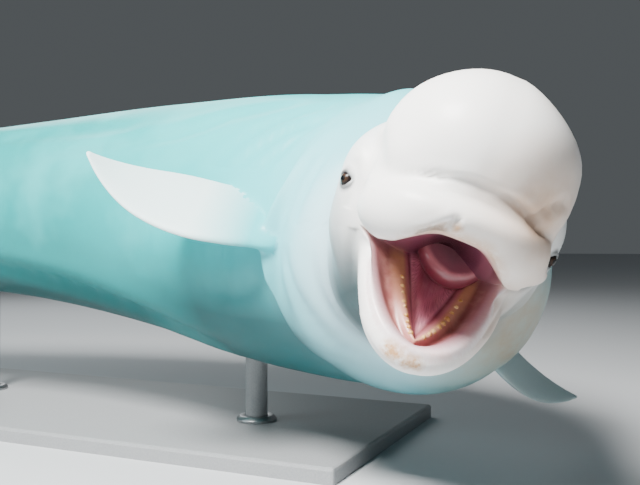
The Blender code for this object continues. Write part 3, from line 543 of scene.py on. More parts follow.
def fold_depth(p):
    """How far the folds of the body and the creases of the face draw the skin in."""
    angle = np.arctan2(p[:, 1], p[:, 2] - along(p[:, 0], SECTIONS, 3))
    depth = np.zeros(len(p))
    spots = np.stack([p[:, 0], angle * FOLD_SIZE], 1)
    for *places, half_width, most in FOLDS:
        places = [(back, math.radians(degrees) * FOLD_SIZE) for back, degrees in places]
        depth += drawn_in(spots, places, half_width, most, 0.45)
    for *places, fall, half_width, most in CREASES:
        front = 1.0 - smooth_step(p[:, 0], fall, fall + 0.05)
        depth += front * drawn_in(p[:, 1:], places, half_width, most, 0.20)
    return depth


t = np.arange(SKIN_AROUND) / SKIN_AROUND
skin_angles = 2.0 * math.pi * t + 0.22 * np.sin(4.0 * math.pi * t)
rear_backs = np.linspace(TAIL_END, 0.92, 96)
neck_backs = np.linspace(0.92, HEAD_END, 42)[1:]
skin_backs = np.concatenate([rear_backs, neck_backs])
rings, ring_numbers = skin_rings(skin_backs, skin_angles)
outer = int(np.argmin(np.abs(ring_numbers))) + 1

flat = rings[:outer].reshape(-1, 3)
outward = gradient(flat)
outward /= np.linalg.norm(outward, axis=1)[:, None]
flat = flat - outward * fold_depth(flat)[:, None]
rings[:outer] = flat.reshape(rings[:outer].shape)

tail_tip = np.array([TAIL_END + 0.02, 0.0, 0.026])
rings = np.concatenate([np.broadcast_to(tail_tip, rings[:1].shape), rings])
rings = np.concatenate([rings, np.broadcast_to(np.array(THROAT_POINT), rings[:1].shape)])
ring_numbers = np.concatenate([[ring_numbers[0]], ring_numbers, [ring_numbers[-1] + 0.1]])

folded = np.abs((skin_angles + math.pi) % (2.0 * math.pi) - math.pi)
skin = lofted("whale_skin", posed(rings), (rings[:, :, 0], ring_numbers[:, None], folded[None, :]))


# Flippers: short broad paddles with a thick leading edge and a tip that curls up.
# The flukes are two swept blades at the end of the tail stock. All four grow out of the skin,
# so they are fused with it and the join is smoothed into a fillet.
FLIPPER_LENGTH = 0.425
FLIPPER_CHORD = 0.220
FLIPPER_THICKNESS = 0.046
FLIPPER_JOIN = 0.055
FLUKE_SPAN = 0.50
FLUKE_CHORD = 0.30
FLUKE_THICKNESS = 0.045
FLUKE_JOIN = 0.045
MARK_MARGIN = 0.02
BLADE_AROUND = 52
BLADE_ROWS = 56

# share of length, leading edge, trailing edge, thickness, curl
FLIPPER_SECTIONS = np.array([
    (-0.12, 0.38, -0.42, 1.00, 0.000),
    (0.02, 0.42, -0.44, 1.00, 0.000),
    (0.18, 0.47, -0.50, 0.90, -0.004),
    (0.36, 0.49, -0.52, 0.78, -0.010),
    (0.54, 0.45, -0.47, 0.66, -0.010),
    (0.70, 0.36, -0.36, 0.54, -0.002),
    (0.83, 0.23, -0.24, 0.42, 0.014),
    (0.93, 0.09, -0.13, 0.30, 0.034),
    (0.985, -0.01, -0.07, 0.18, 0.048),
])
FLUKE_SECTIONS = np.array([
    (-0.04, 0.48, -0.40, 1.00, 0.0),
    (0.08, 0.46, -0.48, 0.90, 0.0),
    (0.24, 0.36, -0.56, 0.74, 0.0),
    (0.42, 0.22, -0.58, 0.58, 0.0),
    (0.60, 0.07, -0.54, 0.46, 0.0),
    (0.76, -0.09, -0.50, 0.34, 0.0),
    (0.90, -0.27, -0.50, 0.24, 0.0),
    (0.98, -0.42, -0.52, 0.14, 0.0),
])


def blade(name, root, span_dir, edge_dir, curl_dir, sections, length, chord, thickness, back):
    """Lofted paddle with a round leading edge and a thin trailing edge."""
    flat_dir = np.cross(span_dir, edge_dir)
    shares = np.linspace(sections[0, 0], sections[-1, 0], BLADE_ROWS)
    turned = np.arange(BLADE_AROUND) * 2.0 * math.pi / BLADE_AROUND
    rows = []
    for share in shares:
        leading, trailing, thick, curl = [along(share, sections, k) for k in range(1, 5)]
        across_line = ((leading + trailing) / 2.0 + (leading - trailing) / 2.0 * np.cos(turned)) * chord
        fullness = np.sin(turned) * (0.80 + 0.30 * np.cos(turned)) * thick * thickness / 2.0
        centre = root + span_dir * share * length + curl_dir * curl
        rows.append(centre + across_line[:, None] * edge_dir + fullness[:, None] * flat_dir)
    tip = rows[-1].mean(0) + span_dir * sections[-1, 3] * thickness * 0.35
    root_point = rows[0].mean(0)
    rows = [np.broadcast_to(root_point, rows[0].shape)] + rows + [np.broadcast_to(tip, rows[0].shape)]
    rings = np.array(rows)
    out_share = np.clip(np.concatenate([[0.0], shares, [1.0]]), 0.0, 1.0)
    return lofted(name, rings, (back, -2.0, -out_share[:, None]))


def flipper(name, side, root_back, root_up, direction, pitch_degrees):
    """Flipper from its root on the flank along a body direction."""
    _, tail, right, up = spine(root_back)
    root = skin_point(root_back, root_up, (0.0, side, 0.0))
    span = unit(tail * direction[0] + right * direction[1] + up * direction[2])
    edge = unit(-tail - span * np.dot(-tail, span))
    pitch = math.radians(pitch_degrees)
    edge = edge * math.cos(pitch) - np.cross(span, edge) * side * math.sin(pitch)
    curl = np.cross(span, edge) * side
    sizes = (FLIPPER_LENGTH, FLIPPER_CHORD, FLIPPER_THICKNESS)
    return blade(name, posed(root), span, edge, curl, FLIPPER_SECTIONS, *sizes, root_back)


def fluke(name, side):
    """One half of the tail fluke."""
    centre, tail, right, up = spine(TAIL_END - 0.08)
    root = centre + up * 0.026 + right * side * 0.022
    sizes = (FLUKE_SPAN, FLUKE_CHORD, FLUKE_THICKNESS)
    return blade(name, root, right * side, -tail, up, FLUKE_SECTIONS, *sizes, TAIL_END)


def points_of(mesh):
    """Places of the vertices of a mesh."""
    flat = np.zeros(3 * len(mesh.vertices), dtype=np.float32)
    mesh.vertices.foreach_get("co", flat)
    return flat.reshape(-1, 3).astype(float)


def within(points, low, high):
    """Which points lie inside a box."""
    return np.all((points > low) & (points < high), axis=-1)


def cut(target, tool, operation):
    """Boolean of two closed pieces; the tool is used up and the marks near it are carried over."""
    box = points_of(tool.data)
    low = box.min(0) - MARK_MARGIN
    high = box.max(0) + MARK_MARGIN
    places = []
    values = []
    for piece in (target, tool):
        if MARKS[0] not in piece.data.attributes:
            continue
        points = points_of(piece.data)
        chosen = within(points, low, high)
        marks = np.zeros((len(MARKS), len(points)), dtype=np.float32)
        for word, row in zip(MARKS, marks):
            piece.data.attributes[word].data.foreach_get("value", row)
        places.append(points[chosen])
        values.append(marks[:, chosen])
    places = np.concatenate(places)
    values = np.concatenate(values, axis=1)
    tree = mathutils.kdtree.KDTree(len(places))
    for index, point in enumerate(places):
        tree.insert(point, index)
    tree.balance()
    modifier = target.modifiers.new("cut", "BOOLEAN")
    modifier.operation = operation
    modifier.solver = "EXACT"
    modifier.object = tool
    depsgraph = bpy.context.evaluated_depsgraph_get()
    mesh = bpy.data.meshes.new_from_object(target.evaluated_get(depsgraph))
    target.modifiers.clear()
    target.data = mesh
    bpy.data.objects.remove(tool)
    points = points_of(mesh)
    changed = np.flatnonzero(within(points, low, high))
    nearest = [tree.find(points[index])[1] for index in changed]
    for word, row in zip(MARKS, values):
        marks = np.zeros(len(points), dtype=np.float32)
        mesh.attributes[word].data.foreach_get("value", marks)
        marks[changed] = row[nearest]
        mesh.attributes[word].data.foreach_set("value", marks)
    mesh.shade_smooth()


def fuse(body, limb, reach, rounds):
    """Union of a limb with the body; the join is smoothed over the given reach."""
    limb_points = points_of(limb.data)
    low = limb_points.min(0) - reach
    high = limb_points.max(0) + reach
    body_points = points_of(body.data)
    body_points = body_points[within(body_points, low, high)]
    cut(body, limb, "UNION")
    made = bmesh.new()
    made.from_mesh(body.data)
    joined = []
    for vertex in made.verts:
        point = np.array(vertex.co[:])
        if within(point, low, high):
            far = np.linalg.norm(limb_points - point, axis=1).min()
            far += np.linalg.norm(body_points - point, axis=1).min()
            joined.append((far, vertex))
    for share in (1.0, 0.7, 0.4):
        chosen = [vertex for far, vertex in joined if far < reach * share]
        for _ in range(rounds):
            bmesh.ops.smooth_vert(
                made, verts=chosen, factor=0.5, use_axis_x=True, use_axis_y=True, use_axis_z=True
            )
    made.to_mesh(body.data)
    made.free()


fuse(skin, flipper("flipper_right_blade", 1.0, 0.90, -0.13, (0.560, 0.790, -0.040), 50.0), FLIPPER_JOIN, 6)
fuse(skin, flipper("flipper_left_blade", -1.0, 0.84, -0.13, (-0.120, -0.938, -0.312), 45.0), FLIPPER_JOIN, 6)
fuse(skin, fluke("fluke_right_blade", 1.0), FLUKE_JOIN, 6)
fuse(skin, fluke("fluke_left_blade", -1.0), FLUKE_JOIN, 6)


# Eyelids: a soft roll of skin round each eye, drawn out to a point at both corners.
# They are part of the skin, so the rolls are fused with it before the sockets are cut.
EYE_RADIUS = 0.017
EYE_SUNK = 0.010
LID_LENGTH = 0.0180
LID_HEIGHT = 0.0145
LID_THICKNESS = 0.0052
LID_JOIN = 0.009
SOCKET_GAP = 0.0003

eyes = {}
for word, side in (("right", 1.0), ("left", -1.0)):
    front = skin_point(EYE_BACK, 0.0, (0.0, side, 0.0))
    _, tail, right, up = spine(EYE_BACK)
    slope = gradient(front[None, :])[0]
    outward = unit(tail * slope[0] + right * slope[1] + up * slope[2])
    long_way = unit(tail - outward * np.dot(tail, outward))
    high_way = unit(up - outward * np.dot(up, outward) - long_way * np.dot(up, long_way))
    eyes[word] = (posed(front) - outward * EYE_SUNK, outward, long_way, high_way)

for word, (middle, outward, long_way, high_way) in eyes.items():
    rows = []
    for turned in np.linspace(0.0, 2.0 * math.pi, 73):
        rise = math.sin(turned)
        spoke = long_way * math.cos(turned) * LID_LENGTH + high_way * rise * abs(rise)**0.5 * LID_HEIGHT
        size = np.linalg.norm(spoke)
        lift = math.sqrt(max(EYE_RADIUS**2 - size**2, 0.0)) * 0.5 + EYE_SUNK * 0.45
        roll = np.linspace(0.0, 2.0 * math.pi, 21)[:-1]
        thick = LID_THICKNESS * (0.55 + 0.45 * abs(rise) + 0.12 * rise)
        ring = np.cos(roll)[:, None] * spoke / size + np.sin(roll)[:, None] * outward
        rows.append(middle + outward * lift + spoke + ring * thick)
    fuse(skin, lofted("lid_" + word, np.array(rows), (EYE_BACK, -1.0, 1.0)), LID_JOIN, 3)
    made = bmesh.new()
    bmesh.ops.create_uvsphere(made, u_segments=64, v_segments=48, radius=EYE_RADIUS + SOCKET_GAP)
    bmesh.ops.translate(made, verts=made.verts[:], vec=tuple(middle))
    cut(skin, placed("socket_" + word, made), "DIFFERENCE")


# Blowhole: one crescent slot on top of the head, behind the melon, open to the rear.
BLOWHOLE_BACK = 0.375
BLOWHOLE_WIDTH = 0.034
BLOWHOLE_CURVE = 0.014
BLOWHOLE_SLOT = 0.005
top_point = skin_point(BLOWHOLE_BACK, 0.0, (0.0, 0.0, 1.0))
rows = []
for t in np.linspace(-1.0, 1.0, 25):
    size = BLOWHOLE_SLOT * (1.02 - t * t)
    turned = np.arange(16) * math.pi / 8.0
    centre = top_point + np.array([BLOWHOLE_CURVE * t * t, BLOWHOLE_WIDTH * t, -0.010 * t * t])
    ring = np.stack([np.cos(turned) * size, np.zeros(16), np.sin(turned) * size * 2.4], 1)
    rows.append(posed(centre + ring))
rows = [np.broadcast_to(rows[0].mean(0), rows[0].shape)] + rows
rows = rows + [np.broadcast_to(rows[-1].mean(0), rows[0].shape)]
cut(skin, lofted("blowhole_slot", np.array(rows), (BLOWHOLE_BACK, -1.0, 0.0)), "DIFFERENCE")


# Finish of the skin: white, with painted warm shade on the head and neck, a painted water-green cast
# of light through water that deepens towards the tail, painted shade under the chin, chest and belly,
# wet pink lining in the mouth with tan gums and painted shade in the groove beside the tongue.
def fill(made, values):
    """Fixed values on the sockets of a shader node."""
    for word, value in values.items():
        made.inputs[word].default_value = value


def node(tree, kind, values=None, **settings):
    """New shader node with its settings and socket values."""
    made = tree.nodes.new(kind)
    for word, value in settings.items():
        setattr(made, word, value)
    fill(made, values or {})
    return made


def wire(value, socket):
    """Socket fed by another socket, a number or a colour."""
    if isinstance(value, bpy.types.NodeSocket):
        socket.id_data.links.new(value, socket)
    else:
        socket.default_value = value if isinstance(value, float) else (*value, 1.0)


def ramp(factor, stops):
    """Colour ramp fed by a factor."""
    made = node(factor.id_data, "ShaderNodeValToRGB")
    band = made.color_ramp
    while len(band.elements) > 1:
        band.elements.remove(band.elements[-1])
    band.elements[0].position = stops[0][0]
    for position, _ in stops[1:]:
        band.elements.new(position)
    for element, (_, colour) in zip(band.elements, stops):
        element.color = (*colour, 1.0)
    wire(factor, made.inputs["Fac"])
    return made.outputs["Color"]


def blend(factor, first, second):
    """Mix of two colours; each may be a socket or a plain colour."""
    made = node(factor.id_data, "ShaderNodeMix", data_type="RGBA")
    wire(factor, made.inputs["Factor"])
    wire(first, made.inputs[6])
    wire(second, made.inputs[7])
    return made.outputs[2]


def mapped(value, low, high, start=0.0, end=1.0):
    """Value moved from one range to another and clamped."""
    limits = {"From Min": low, "From Max": high, "To Min": start, "To Max": end}
    made = node(value.id_data, "ShaderNodeMapRange", limits)
    wire(value, made.inputs["Value"])
    return made.outputs["Result"]


def finish(name):
    """New material with its tree and shader."""
    made = bpy.data.materials.new(name)
    made.use_nodes = True
    return made, made.node_tree, made.node_tree.nodes["Principled BSDF"]


def object_place(tree):
    """Place on the piece in its own coordinates."""
    return node(tree, "ShaderNodeTexCoord").outputs["Object"]


def mark(tree, word):
    """Float mark stored on the vertices."""
    return node(tree, "ShaderNodeAttribute", attribute_name=word).outputs["Fac"]


def near(place, spot, full, none):
    """Share that falls from 1 within one distance of a spot to 0 at another."""
    reach = node(place.id_data, "ShaderNodeVectorMath", operation="DISTANCE")
    reach.inputs[1].default_value = tuple(spot)
    wire(place, reach.inputs[0])
    return mapped(reach.outputs["Value"], full, none, 1.0, 0.0)


def product(first, second, *more):
    """Shares multiplied."""
    made = node(first.id_data, "ShaderNodeMath", operation="MULTIPLY")
    wire(first, made.inputs[0])
    wire(second, made.inputs[1])
    return product(made.outputs["Value"], *more) if more else made.outputs["Value"]


def noise(vector, scale, detail, roughness=0.5):
    """Noise read at a place."""
    values = {"Scale": scale, "Detail": detail, "Roughness": roughness}
    made = node(vector.id_data, "ShaderNodeTexNoise", values)
    wire(vector, made.inputs["Vector"])
    return made.outputs["Fac"]


def relief(shader, height, strength, distance):
    """Fine bumps on the surface."""
    bump = node(height.id_data, "ShaderNodeBump", {"Strength": strength, "Distance": distance})
    wire(height, bump.inputs["Height"])
    wire(bump.outputs["Normal"], shader.inputs["Normal"])


def rows_ramp(value, stops):
    """Colour ramp over the rows of the mouth lining."""
    span = LAST_ROW - FIRST_ROW
    shares = [((row - FIRST_ROW) / span, colour) for row, colour in stops]
    return ramp(mapped(value, FIRST_ROW, LAST_ROW), shares)


WHITE = (0.87, 0.86, 0.84)
WARM_SHADE = (0.62, 0.39, 0.25)
SAND_SHADE = (0.40, 0.31, 0.20)
STAIN_AND_SHADE_BROWN = (0.52, 0.27, 0.10)
WATER_LIGHT_TEAL = (0.0, 0.30, 0.30)
PALE_WATER_LIGHT = (0.04, 0.48, 0.49)
TEMPLE_WATER_LIGHT = (0.58, 0.77, 0.86)
COLLAR_WATER_LIGHT = (0.22, 0.60, 0.67)
PAINTED_SHADE_TEAL = (0.0, 0.035, 0.04)
FIRST_ROW = -0.2
LAST_ROW = len(MOUTH_LOOPS) - 1.0

skin_finish, tree, shader = finish("whale_skin_finish")
place = object_place(tree)
back = mark(tree, "back")
mouth = mark(tree, "mouth")
turned = mark(tree, "turn")
cloud = noise(place, 3.2, 3.0, 0.55)
patches = noise(place, 26.0, 3.0, 0.6)
fine = noise(place, 160.0, 4.0, 0.6)

# painted light: the skin itself is white; the blue and green that deepen from the temple to the tail stand
# in for light through water
body_colour = ramp(mapped(back, 0.15, 2.15), (
    (0.0, WHITE), (0.05, WHITE),
    (0.12, TEMPLE_WATER_LIGHT), (0.20, COLLAR_WATER_LIGHT),
    (0.38, (0.06, 0.52, 0.56)), (0.58, (0.0, 0.42, 0.43)),
    (0.85, WATER_LIGHT_TEAL), (1.0, WATER_LIGHT_TEAL),
))
# paler patches within the painted water light
water_light_patches = product(mapped(cloud, 0.48, 0.64), mapped(back, 0.5, 1.1, 0.0, 0.55))
body_colour = blend(water_light_patches, body_colour, PALE_WATER_LIGHT)
# painted shade under the chin, chest and belly: fade in and out behind the snout, rise round the body
UNDERSIDE_SHADE = (
    ((0.21, 0.28), (0.35, 0.47), (1.3, 2.5, 0.12, 0.95)),
    ((0.45, 0.60), (1.25, 1.60), (2.0, 2.55, 0.0, 0.85)),
    ((1.25, 1.60), (4.0, 5.0), (2.35, 2.9, 0.0, 0.80)),
)
for fade_in, fade_out, round_body in UNDERSIDE_SHADE:
    fade = product(mapped(back, *fade_in), mapped(back, *fade_out, 1.0, 0.0))
    body_colour = blend(product(fade, mapped(turned, *round_body)), body_colour, PAINTED_SHADE_TEAL)
# the flippers take a paler tint of the painted water light, the flukes less of it
limb_share = product(mapped(turned, -0.02, -0.35, 0.0, 0.80), mapped(back, 2.0, 3.0, 1.0, 0.30))
body_colour = blend(limb_share, body_colour, (0.78, 0.87, 0.87))
# painted warm shade in patches on the whale's left: under the melon, beside the mouth and on the neck
WARM_SHADE_PATCHES = (
    ((0.050, -0.105, 0.030), 0.025, 0.150, WARM_SHADE),
    ((0.150, -0.125, -0.120), 0.020, 0.130, WARM_SHADE),
    ((0.480, -0.240, -0.150), 0.060, 0.260, SAND_SHADE),
)
for spot, full, none, tint in WARM_SHADE_PATCHES:
    share = product(near(place, posed(spot), full, none), mapped(patches, 0.2, 0.8, 0.60, 0.95))
    body_colour = blend(share, body_colour, tint)
# painted shade: a dark patch on the lids round each eye stands in for the shade in its hollow
for middle, outward, long_way, high_way in eyes.values():
    rim = near(place, middle + outward * EYE_RADIUS, 0.012, 0.028)
    body_colour = blend(product(rim, 0.96), body_colour, (0.010, 0.012, 0.015))

# upper lip: stained edge, brown-purple lining darkening with painted shade into the throat
roof = rows_ramp(mouth, (
    (-0.2, WHITE), (0.5, (0.82, 0.66, 0.58)),
    (1.2, (0.66, 0.42, 0.38)), (2.0, (0.34, 0.15, 0.17)),
    (3.5, (0.24, 0.08, 0.12)), (5.0, (0.15, 0.04, 0.07)),
    (7.0, (0.04, 0.01, 0.015)),
))
# lower lip and jaw: pale lip, brown channel darkened by painted shade in its hollow, tan gum, painted shade
# in the groove beside the tongue, a streaked pink floor and painted shade into the throat
deep = rows_ramp(mouth, (
    (-0.2, WHITE), (0.8, (0.82, 0.74, 0.76)),
    (1.5, (0.66, 0.42, 0.44)), (2.2, (0.38, 0.16, 0.16)),
    (3.2, (0.22, 0.08, 0.06)), (3.6, (0.50, 0.24, 0.13)),
    (4.2, (0.64, 0.34, 0.18)), (4.7, (0.52, 0.16, 0.19)),
    (5.0, (0.14, 0.02, 0.04)), (5.3, (0.80, 0.30, 0.40)),
    (6.2, (0.70, 0.20, 0.30)), (7.0, (0.05, 0.01, 0.015)),
))
shallow = rows_ramp(mouth, (
    (-0.2, WHITE), (1.0, (0.81, 0.69, 0.72)),
    (2.0, (0.50, 0.24, 0.28)), (3.0, (0.24, 0.07, 0.07)),
    (3.6, (0.46, 0.18, 0.16)), (4.2, (0.66, 0.34, 0.20)),
    (4.6, (0.58, 0.20, 0.23)), (5.0, (0.24, 0.04, 0.07)),
    (5.4, (0.84, 0.36, 0.46)), (6.3, (0.76, 0.25, 0.35)),
    (7.0, (0.05, 0.01, 0.015)),
))
lining = blend(mapped(turned, 1.75, 2.65), deep, shallow)
along_rows = node(tree, "ShaderNodeCombineXYZ")
wire(product(turned, 26.0), along_rows.inputs["X"])
wire(product(mouth, 1.1), along_rows.inputs["Y"])
streaks = noise(along_rows.outputs["Vector"], 1.6, 4.0, 0.6)
streak_share = product(mapped(mouth, 4.9, 5.5, 0.10, 0.60), mapped(streaks, 0.42, 0.60))
lining = blend(streak_share, lining, (0.40, 0.08, 0.13))
lining = blend(product(mapped(patches, 0.45, 0.7), 0.30), lining, (0.74, 0.42, 0.36))
lining = blend(mapped(turned, 1.46, 1.66), roof, lining)
inside = mapped(mouth, -0.12, 0.10)
colour = blend(inside, body_colour, lining)

# painted shade in brown along the edge of the upper lip, and brown stains on the tip of the chin and the
# middle of the upper lip
stain_and_shade_noise = mapped(noise(place, 60.0, 4.0, 0.65), 0.30, 0.54)
lip_edge_shade = product(mapped(mouth, -0.020, 0.0), mapped(mouth, 0.4, 1.0, 1.0, 0.0))
lip_edge_shade = product(lip_edge_shade, mapped(turned, 0.35, 0.95, 0.50, 0.0), stain_and_shade_noise)
colour = blend(lip_edge_shade, colour, STAIN_AND_SHADE_BROWN)
STAINS = (
    (jaw_point(JAW_REACH + 0.016, 0.034, 0.014), 0.010, 0.024),
    (jaw_point(JAW_REACH + 0.022, 0.010, 0.012), 0.010, 0.024),
    (jaw_point(JAW_REACH + 0.020, -0.014, 0.012), 0.006, 0.018),
    ((0.018, 0.052, -0.052), 0.003, 0.016),
    ((0.014, 0.034, -0.044), 0.004, 0.018),
    ((0.012, 0.016, -0.030), 0.003, 0.014),
    ((0.016, 0.000, -0.046), 0.003, 0.016),
    ((0.020, -0.020, -0.050), 0.003, 0.016),
)
for spot, full, none in STAINS:
    share = product(near(place, posed(spot), full, none), stain_and_shade_noise, 0.90)
    colour = blend(share, colour, STAIN_AND_SHADE_BROWN)
wire(colour, shader.inputs["Base Color"])
wire(mapped(mouth, -0.05, 1.0, 0.44, 0.30), shader.inputs["Roughness"])
fill(shader, {
    "Specular IOR Level": 0.30,
    "Coat Weight": 0.08,
    "Coat Roughness": 0.18,
    "Subsurface Weight": 0.06,
    "Subsurface Radius": (0.020, 0.012, 0.008),
    "Subsurface Scale": 1.0,
})
height = node(tree, "ShaderNodeMath", operation="ADD")
wire(product(fine, 0.25), height.inputs[0])
wire(product(streaks, mapped(mouth, 4.6, 5.4)), height.inputs[1])
relief(shader, height.outputs["Value"], 0.35, 0.0015)

skin.data.materials.clear()
skin.data.materials.append(skin_finish)
FLESH_NODES = (
    "tail_stock", "loin", "torso", "chest", "neck", "head", "lower_jaw",
    "flipper_right", "flipper_left", "fluke_right", "fluke_left",
)
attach(skin, "root")
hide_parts(*FLESH_NODES)


# Eyes: dark glass balls with a slightly raised clear front, a long pupil and a brown iris.
IRIS_EDGE = 0.62
PUPIL_EDGE = 0.30
CORNEA_RISE = 0.0007
eye_finish, tree, shader = finish("eye_glass_finish")
away = mark(tree, "away")
ring_noise = noise(object_place(tree), 420.0, 3.0)
iris = ramp(away, (
    (0.0, (0.002, 0.002, 0.003)), (PUPIL_EDGE, (0.003, 0.003, 0.004)),
    (PUPIL_EDGE + 0.06, (0.045, 0.026, 0.016)), (IRIS_EDGE - 0.08, (0.030, 0.018, 0.014)),
    (IRIS_EDGE, (0.008, 0.006, 0.006)), (IRIS_EDGE + 0.12, (0.020, 0.015, 0.015)),
    (1.0, (0.030, 0.020, 0.020)),
))
iris = blend(mapped(ring_noise, 0.4, 0.7, 0.0, 0.35), iris, (0.004, 0.003, 0.003))
wire(iris, shader.inputs["Base Color"])
fill(shader, {"Roughness": 0.25, "Specular IOR Level": 0.12, "Coat Weight": 0.10, "Coat Roughness": 0.06})
for word, (middle, outward, long_way, high_way) in eyes.items():
    made = bmesh.new()
    bmesh.ops.create_uvsphere(made, u_segments=64, v_segments=40, radius=EYE_RADIUS)
    layer = made.verts.layers.float.new("away")
    for vertex in made.verts:
        spoke = np.array(vertex.co[:]) / EYE_RADIUS
        forward = np.dot(spoke, outward)
        oval = math.hypot(np.dot(spoke, long_way) * 0.80, np.dot(spoke, high_way) * 1.15)
        vertex[layer] = oval if forward > 0.0 else 1.0
        raised = CORNEA_RISE * math.exp(-(oval / 0.50)**4) * (forward > 0.0)
        vertex.co = middle + spoke * (EYE_RADIUS + raised)
    ball = placed("eye_" + word + "_ball", made, eye_finish)
    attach(ball, "root")
    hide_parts("eye_" + word)


# Tongue: a broad soft dome on the floor of the mouth, dusky purple on top with a pink front
# edge painted lighter as a highlight along the rim. It lies loose, so it is its own piece, sunk a little
# into the floor.
TONGUE_REACH = 0.016
TONGUE_SIDE = -0.036
TONGUE_HALF_LENGTH = 0.086
TONGUE_HALF_WIDTH = 0.076
TONGUE_HALF_HEIGHT = 0.024
TONGUE_UP = 0.031
TONGUE_TILT = 0.022
TONGUE_NARROWING = 0.12
TONGUE_FLATNESS = 1.8
tongue_finish, tree, shader = finish("tongue_finish")
place = object_place(tree)
# painted highlight: the bright pink band near the front rim stands in for light on the rim's curve
tongue_colour = ramp(mark(tree, "edge"), (
    (0.0, (0.23, 0.085, 0.115)), (0.55, (0.25, 0.09, 0.12)),
    (0.80, (0.34, 0.10, 0.14)), (0.92, (0.58, 0.20, 0.23)),
    (1.0, (0.28, 0.05, 0.08)),
))
mottle = noise(place, 70.0, 4.0, 0.6)
tongue_colour = blend(mapped(mottle, 0.4, 0.7, 0.0, 0.35), tongue_colour, (0.32, 0.12, 0.15))
wire(tongue_colour, shader.inputs["Base Color"])
fill(shader, {
    "Roughness": 0.30,
    "Coat Weight": 0.5,
    "Coat Roughness": 0.15,
    "Subsurface Weight": 0.10,
    "Subsurface Radius": (0.020, 0.008, 0.006),
})
relief(shader, noise(place, 240.0, 3.0), 0.25, 0.0015)
made = bmesh.new()
bmesh.ops.create_uvsphere(made, u_segments=96, v_segments=64, radius=1.0)
layer = made.verts.layers.float.new("edge")
for vertex in made.verts:
    forward, side, rise = vertex.co
    outer_share = math.hypot(forward, side)
    brim = 0.0045 * math.exp(-((outer_share - 0.90) / 0.09)**2) * (rise > -0.3) * max(0.0, forward)
    groove = 0.003 * math.exp(-(side / 0.14)**2) * max(0.0, rise)
    crown = math.tanh(TONGUE_FLATNESS * rise) / math.tanh(TONGUE_FLATNESS)
    height = TONGUE_UP + crown * TONGUE_HALF_HEIGHT - TONGUE_TILT * forward + brim - groove
    reach = TONGUE_REACH + forward * TONGUE_HALF_LENGTH
    # the painted highlight band is kept to the front of the rim
    vertex[layer] = outer_share if forward > -0.2 else outer_share * 0.8
    wide = side * TONGUE_HALF_WIDTH * (1.0 - TONGUE_NARROWING * forward)
    vertex.co = posed(jaw_point(reach, TONGUE_SIDE + wide, height))
tongue_dome = placed("tongue_dome", made, tongue_finish)
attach(tongue_dome, "root")
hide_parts("tongue")


# Teeth: short worn pegs along the two gum ridges of the lower jaw, stained tan to orange.
def grained_finish(name, grain, stops, values, bump_grain, strength, distance):
    """Finish with a fine grain in colour and surface."""
    made, tree, shader = finish(name)
    place = object_place(tree)
    wire(ramp(noise(place, *grain), stops), shader.inputs["Base Color"])
    fill(shader, values)
    relief(shader, noise(place, *bump_grain), strength, distance)
    return made


TEETH_PER_SIDE = 9
TOOTH_RADIUS = 0.0052
TOOTH_SUNK = 0.010
TOOTH_HEIGHT = 0.0034
GUM_ROW = 4.0
TOOTH_TANS = ((0.35, (0.50, 0.23, 0.05)), (0.50, (0.64, 0.35, 0.11)), (0.65, (0.74, 0.50, 0.24)))
teeth_finish = grained_finish(
    "teeth_finish", (150.0, 3.0), TOOTH_TANS, {"Roughness": 0.32}, (900.0, 2.0), 0.2, 0.0005
)
random.seed(7)
jaw_up = np.array(jaw_point(0.0, 0.0, 1.0)) - np.array(jaw_point(0.0, 0.0, 0.0))
made = bmesh.new()
for side in (1.0, -1.0):
    for k in range(TEETH_PER_SIDE):
        share = 0.14 + 0.62 * (k + random.uniform(-0.2, 0.2)) / (TEETH_PER_SIDE - 1)
        angle = side * (math.pi - share * (math.pi - CORNER_ANGLE))
        root = mouth_loop(np.array([angle]), GUM_ROW)[0]
        lean = jaw_up + np.array([random.uniform(-0.15, 0.15), random.uniform(-0.15, 0.15), 0.0])
        base = posed(root - lean * TOOTH_SUNK)
        tip = posed(root + lean * TOOTH_HEIGHT * random.uniform(0.6, 1.2))
        way = mathutils.Vector(tip - base)
        radius = TOOTH_RADIUS * random.uniform(0.75, 1.15)
        size = mathutils.Matrix.Diagonal((radius, radius, way.length / 2.0, 1.0))
        upright = mathutils.Vector((0.0, 0.0, 1.0)).rotation_difference(way).to_matrix().to_4x4()
        spot = mathutils.Matrix.Translation((base + tip) / 2.0)
        peg = spot @ upright @ size
        bmesh.ops.create_uvsphere(made, u_segments=24, v_segments=16, radius=1.0, matrix=peg)
teeth = placed("teeth", made, teeth_finish)
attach(teeth, "root")


# Stand: a base plate with a rounded edge and two round rods up to the belly, the solids
# themselves in a grained satin paint, with a turned steel collar round the foot of each rod.
PAINT_GREYS = ((0.3, (0.26, 0.27, 0.28)), (0.7, (0.31, 0.32, 0.33)))
paint_finish = grained_finish(
    "stand_paint_finish", (220.0, 3.0), PAINT_GREYS, {"Roughness": 0.45}, (220.0, 3.0), 0.15, 0.0005
)
for name in ("stand_base", "stand_rod_front", "stand_rod_rear"):
    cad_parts[name].data.materials.clear()
    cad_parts[name].data.materials.append(paint_finish)

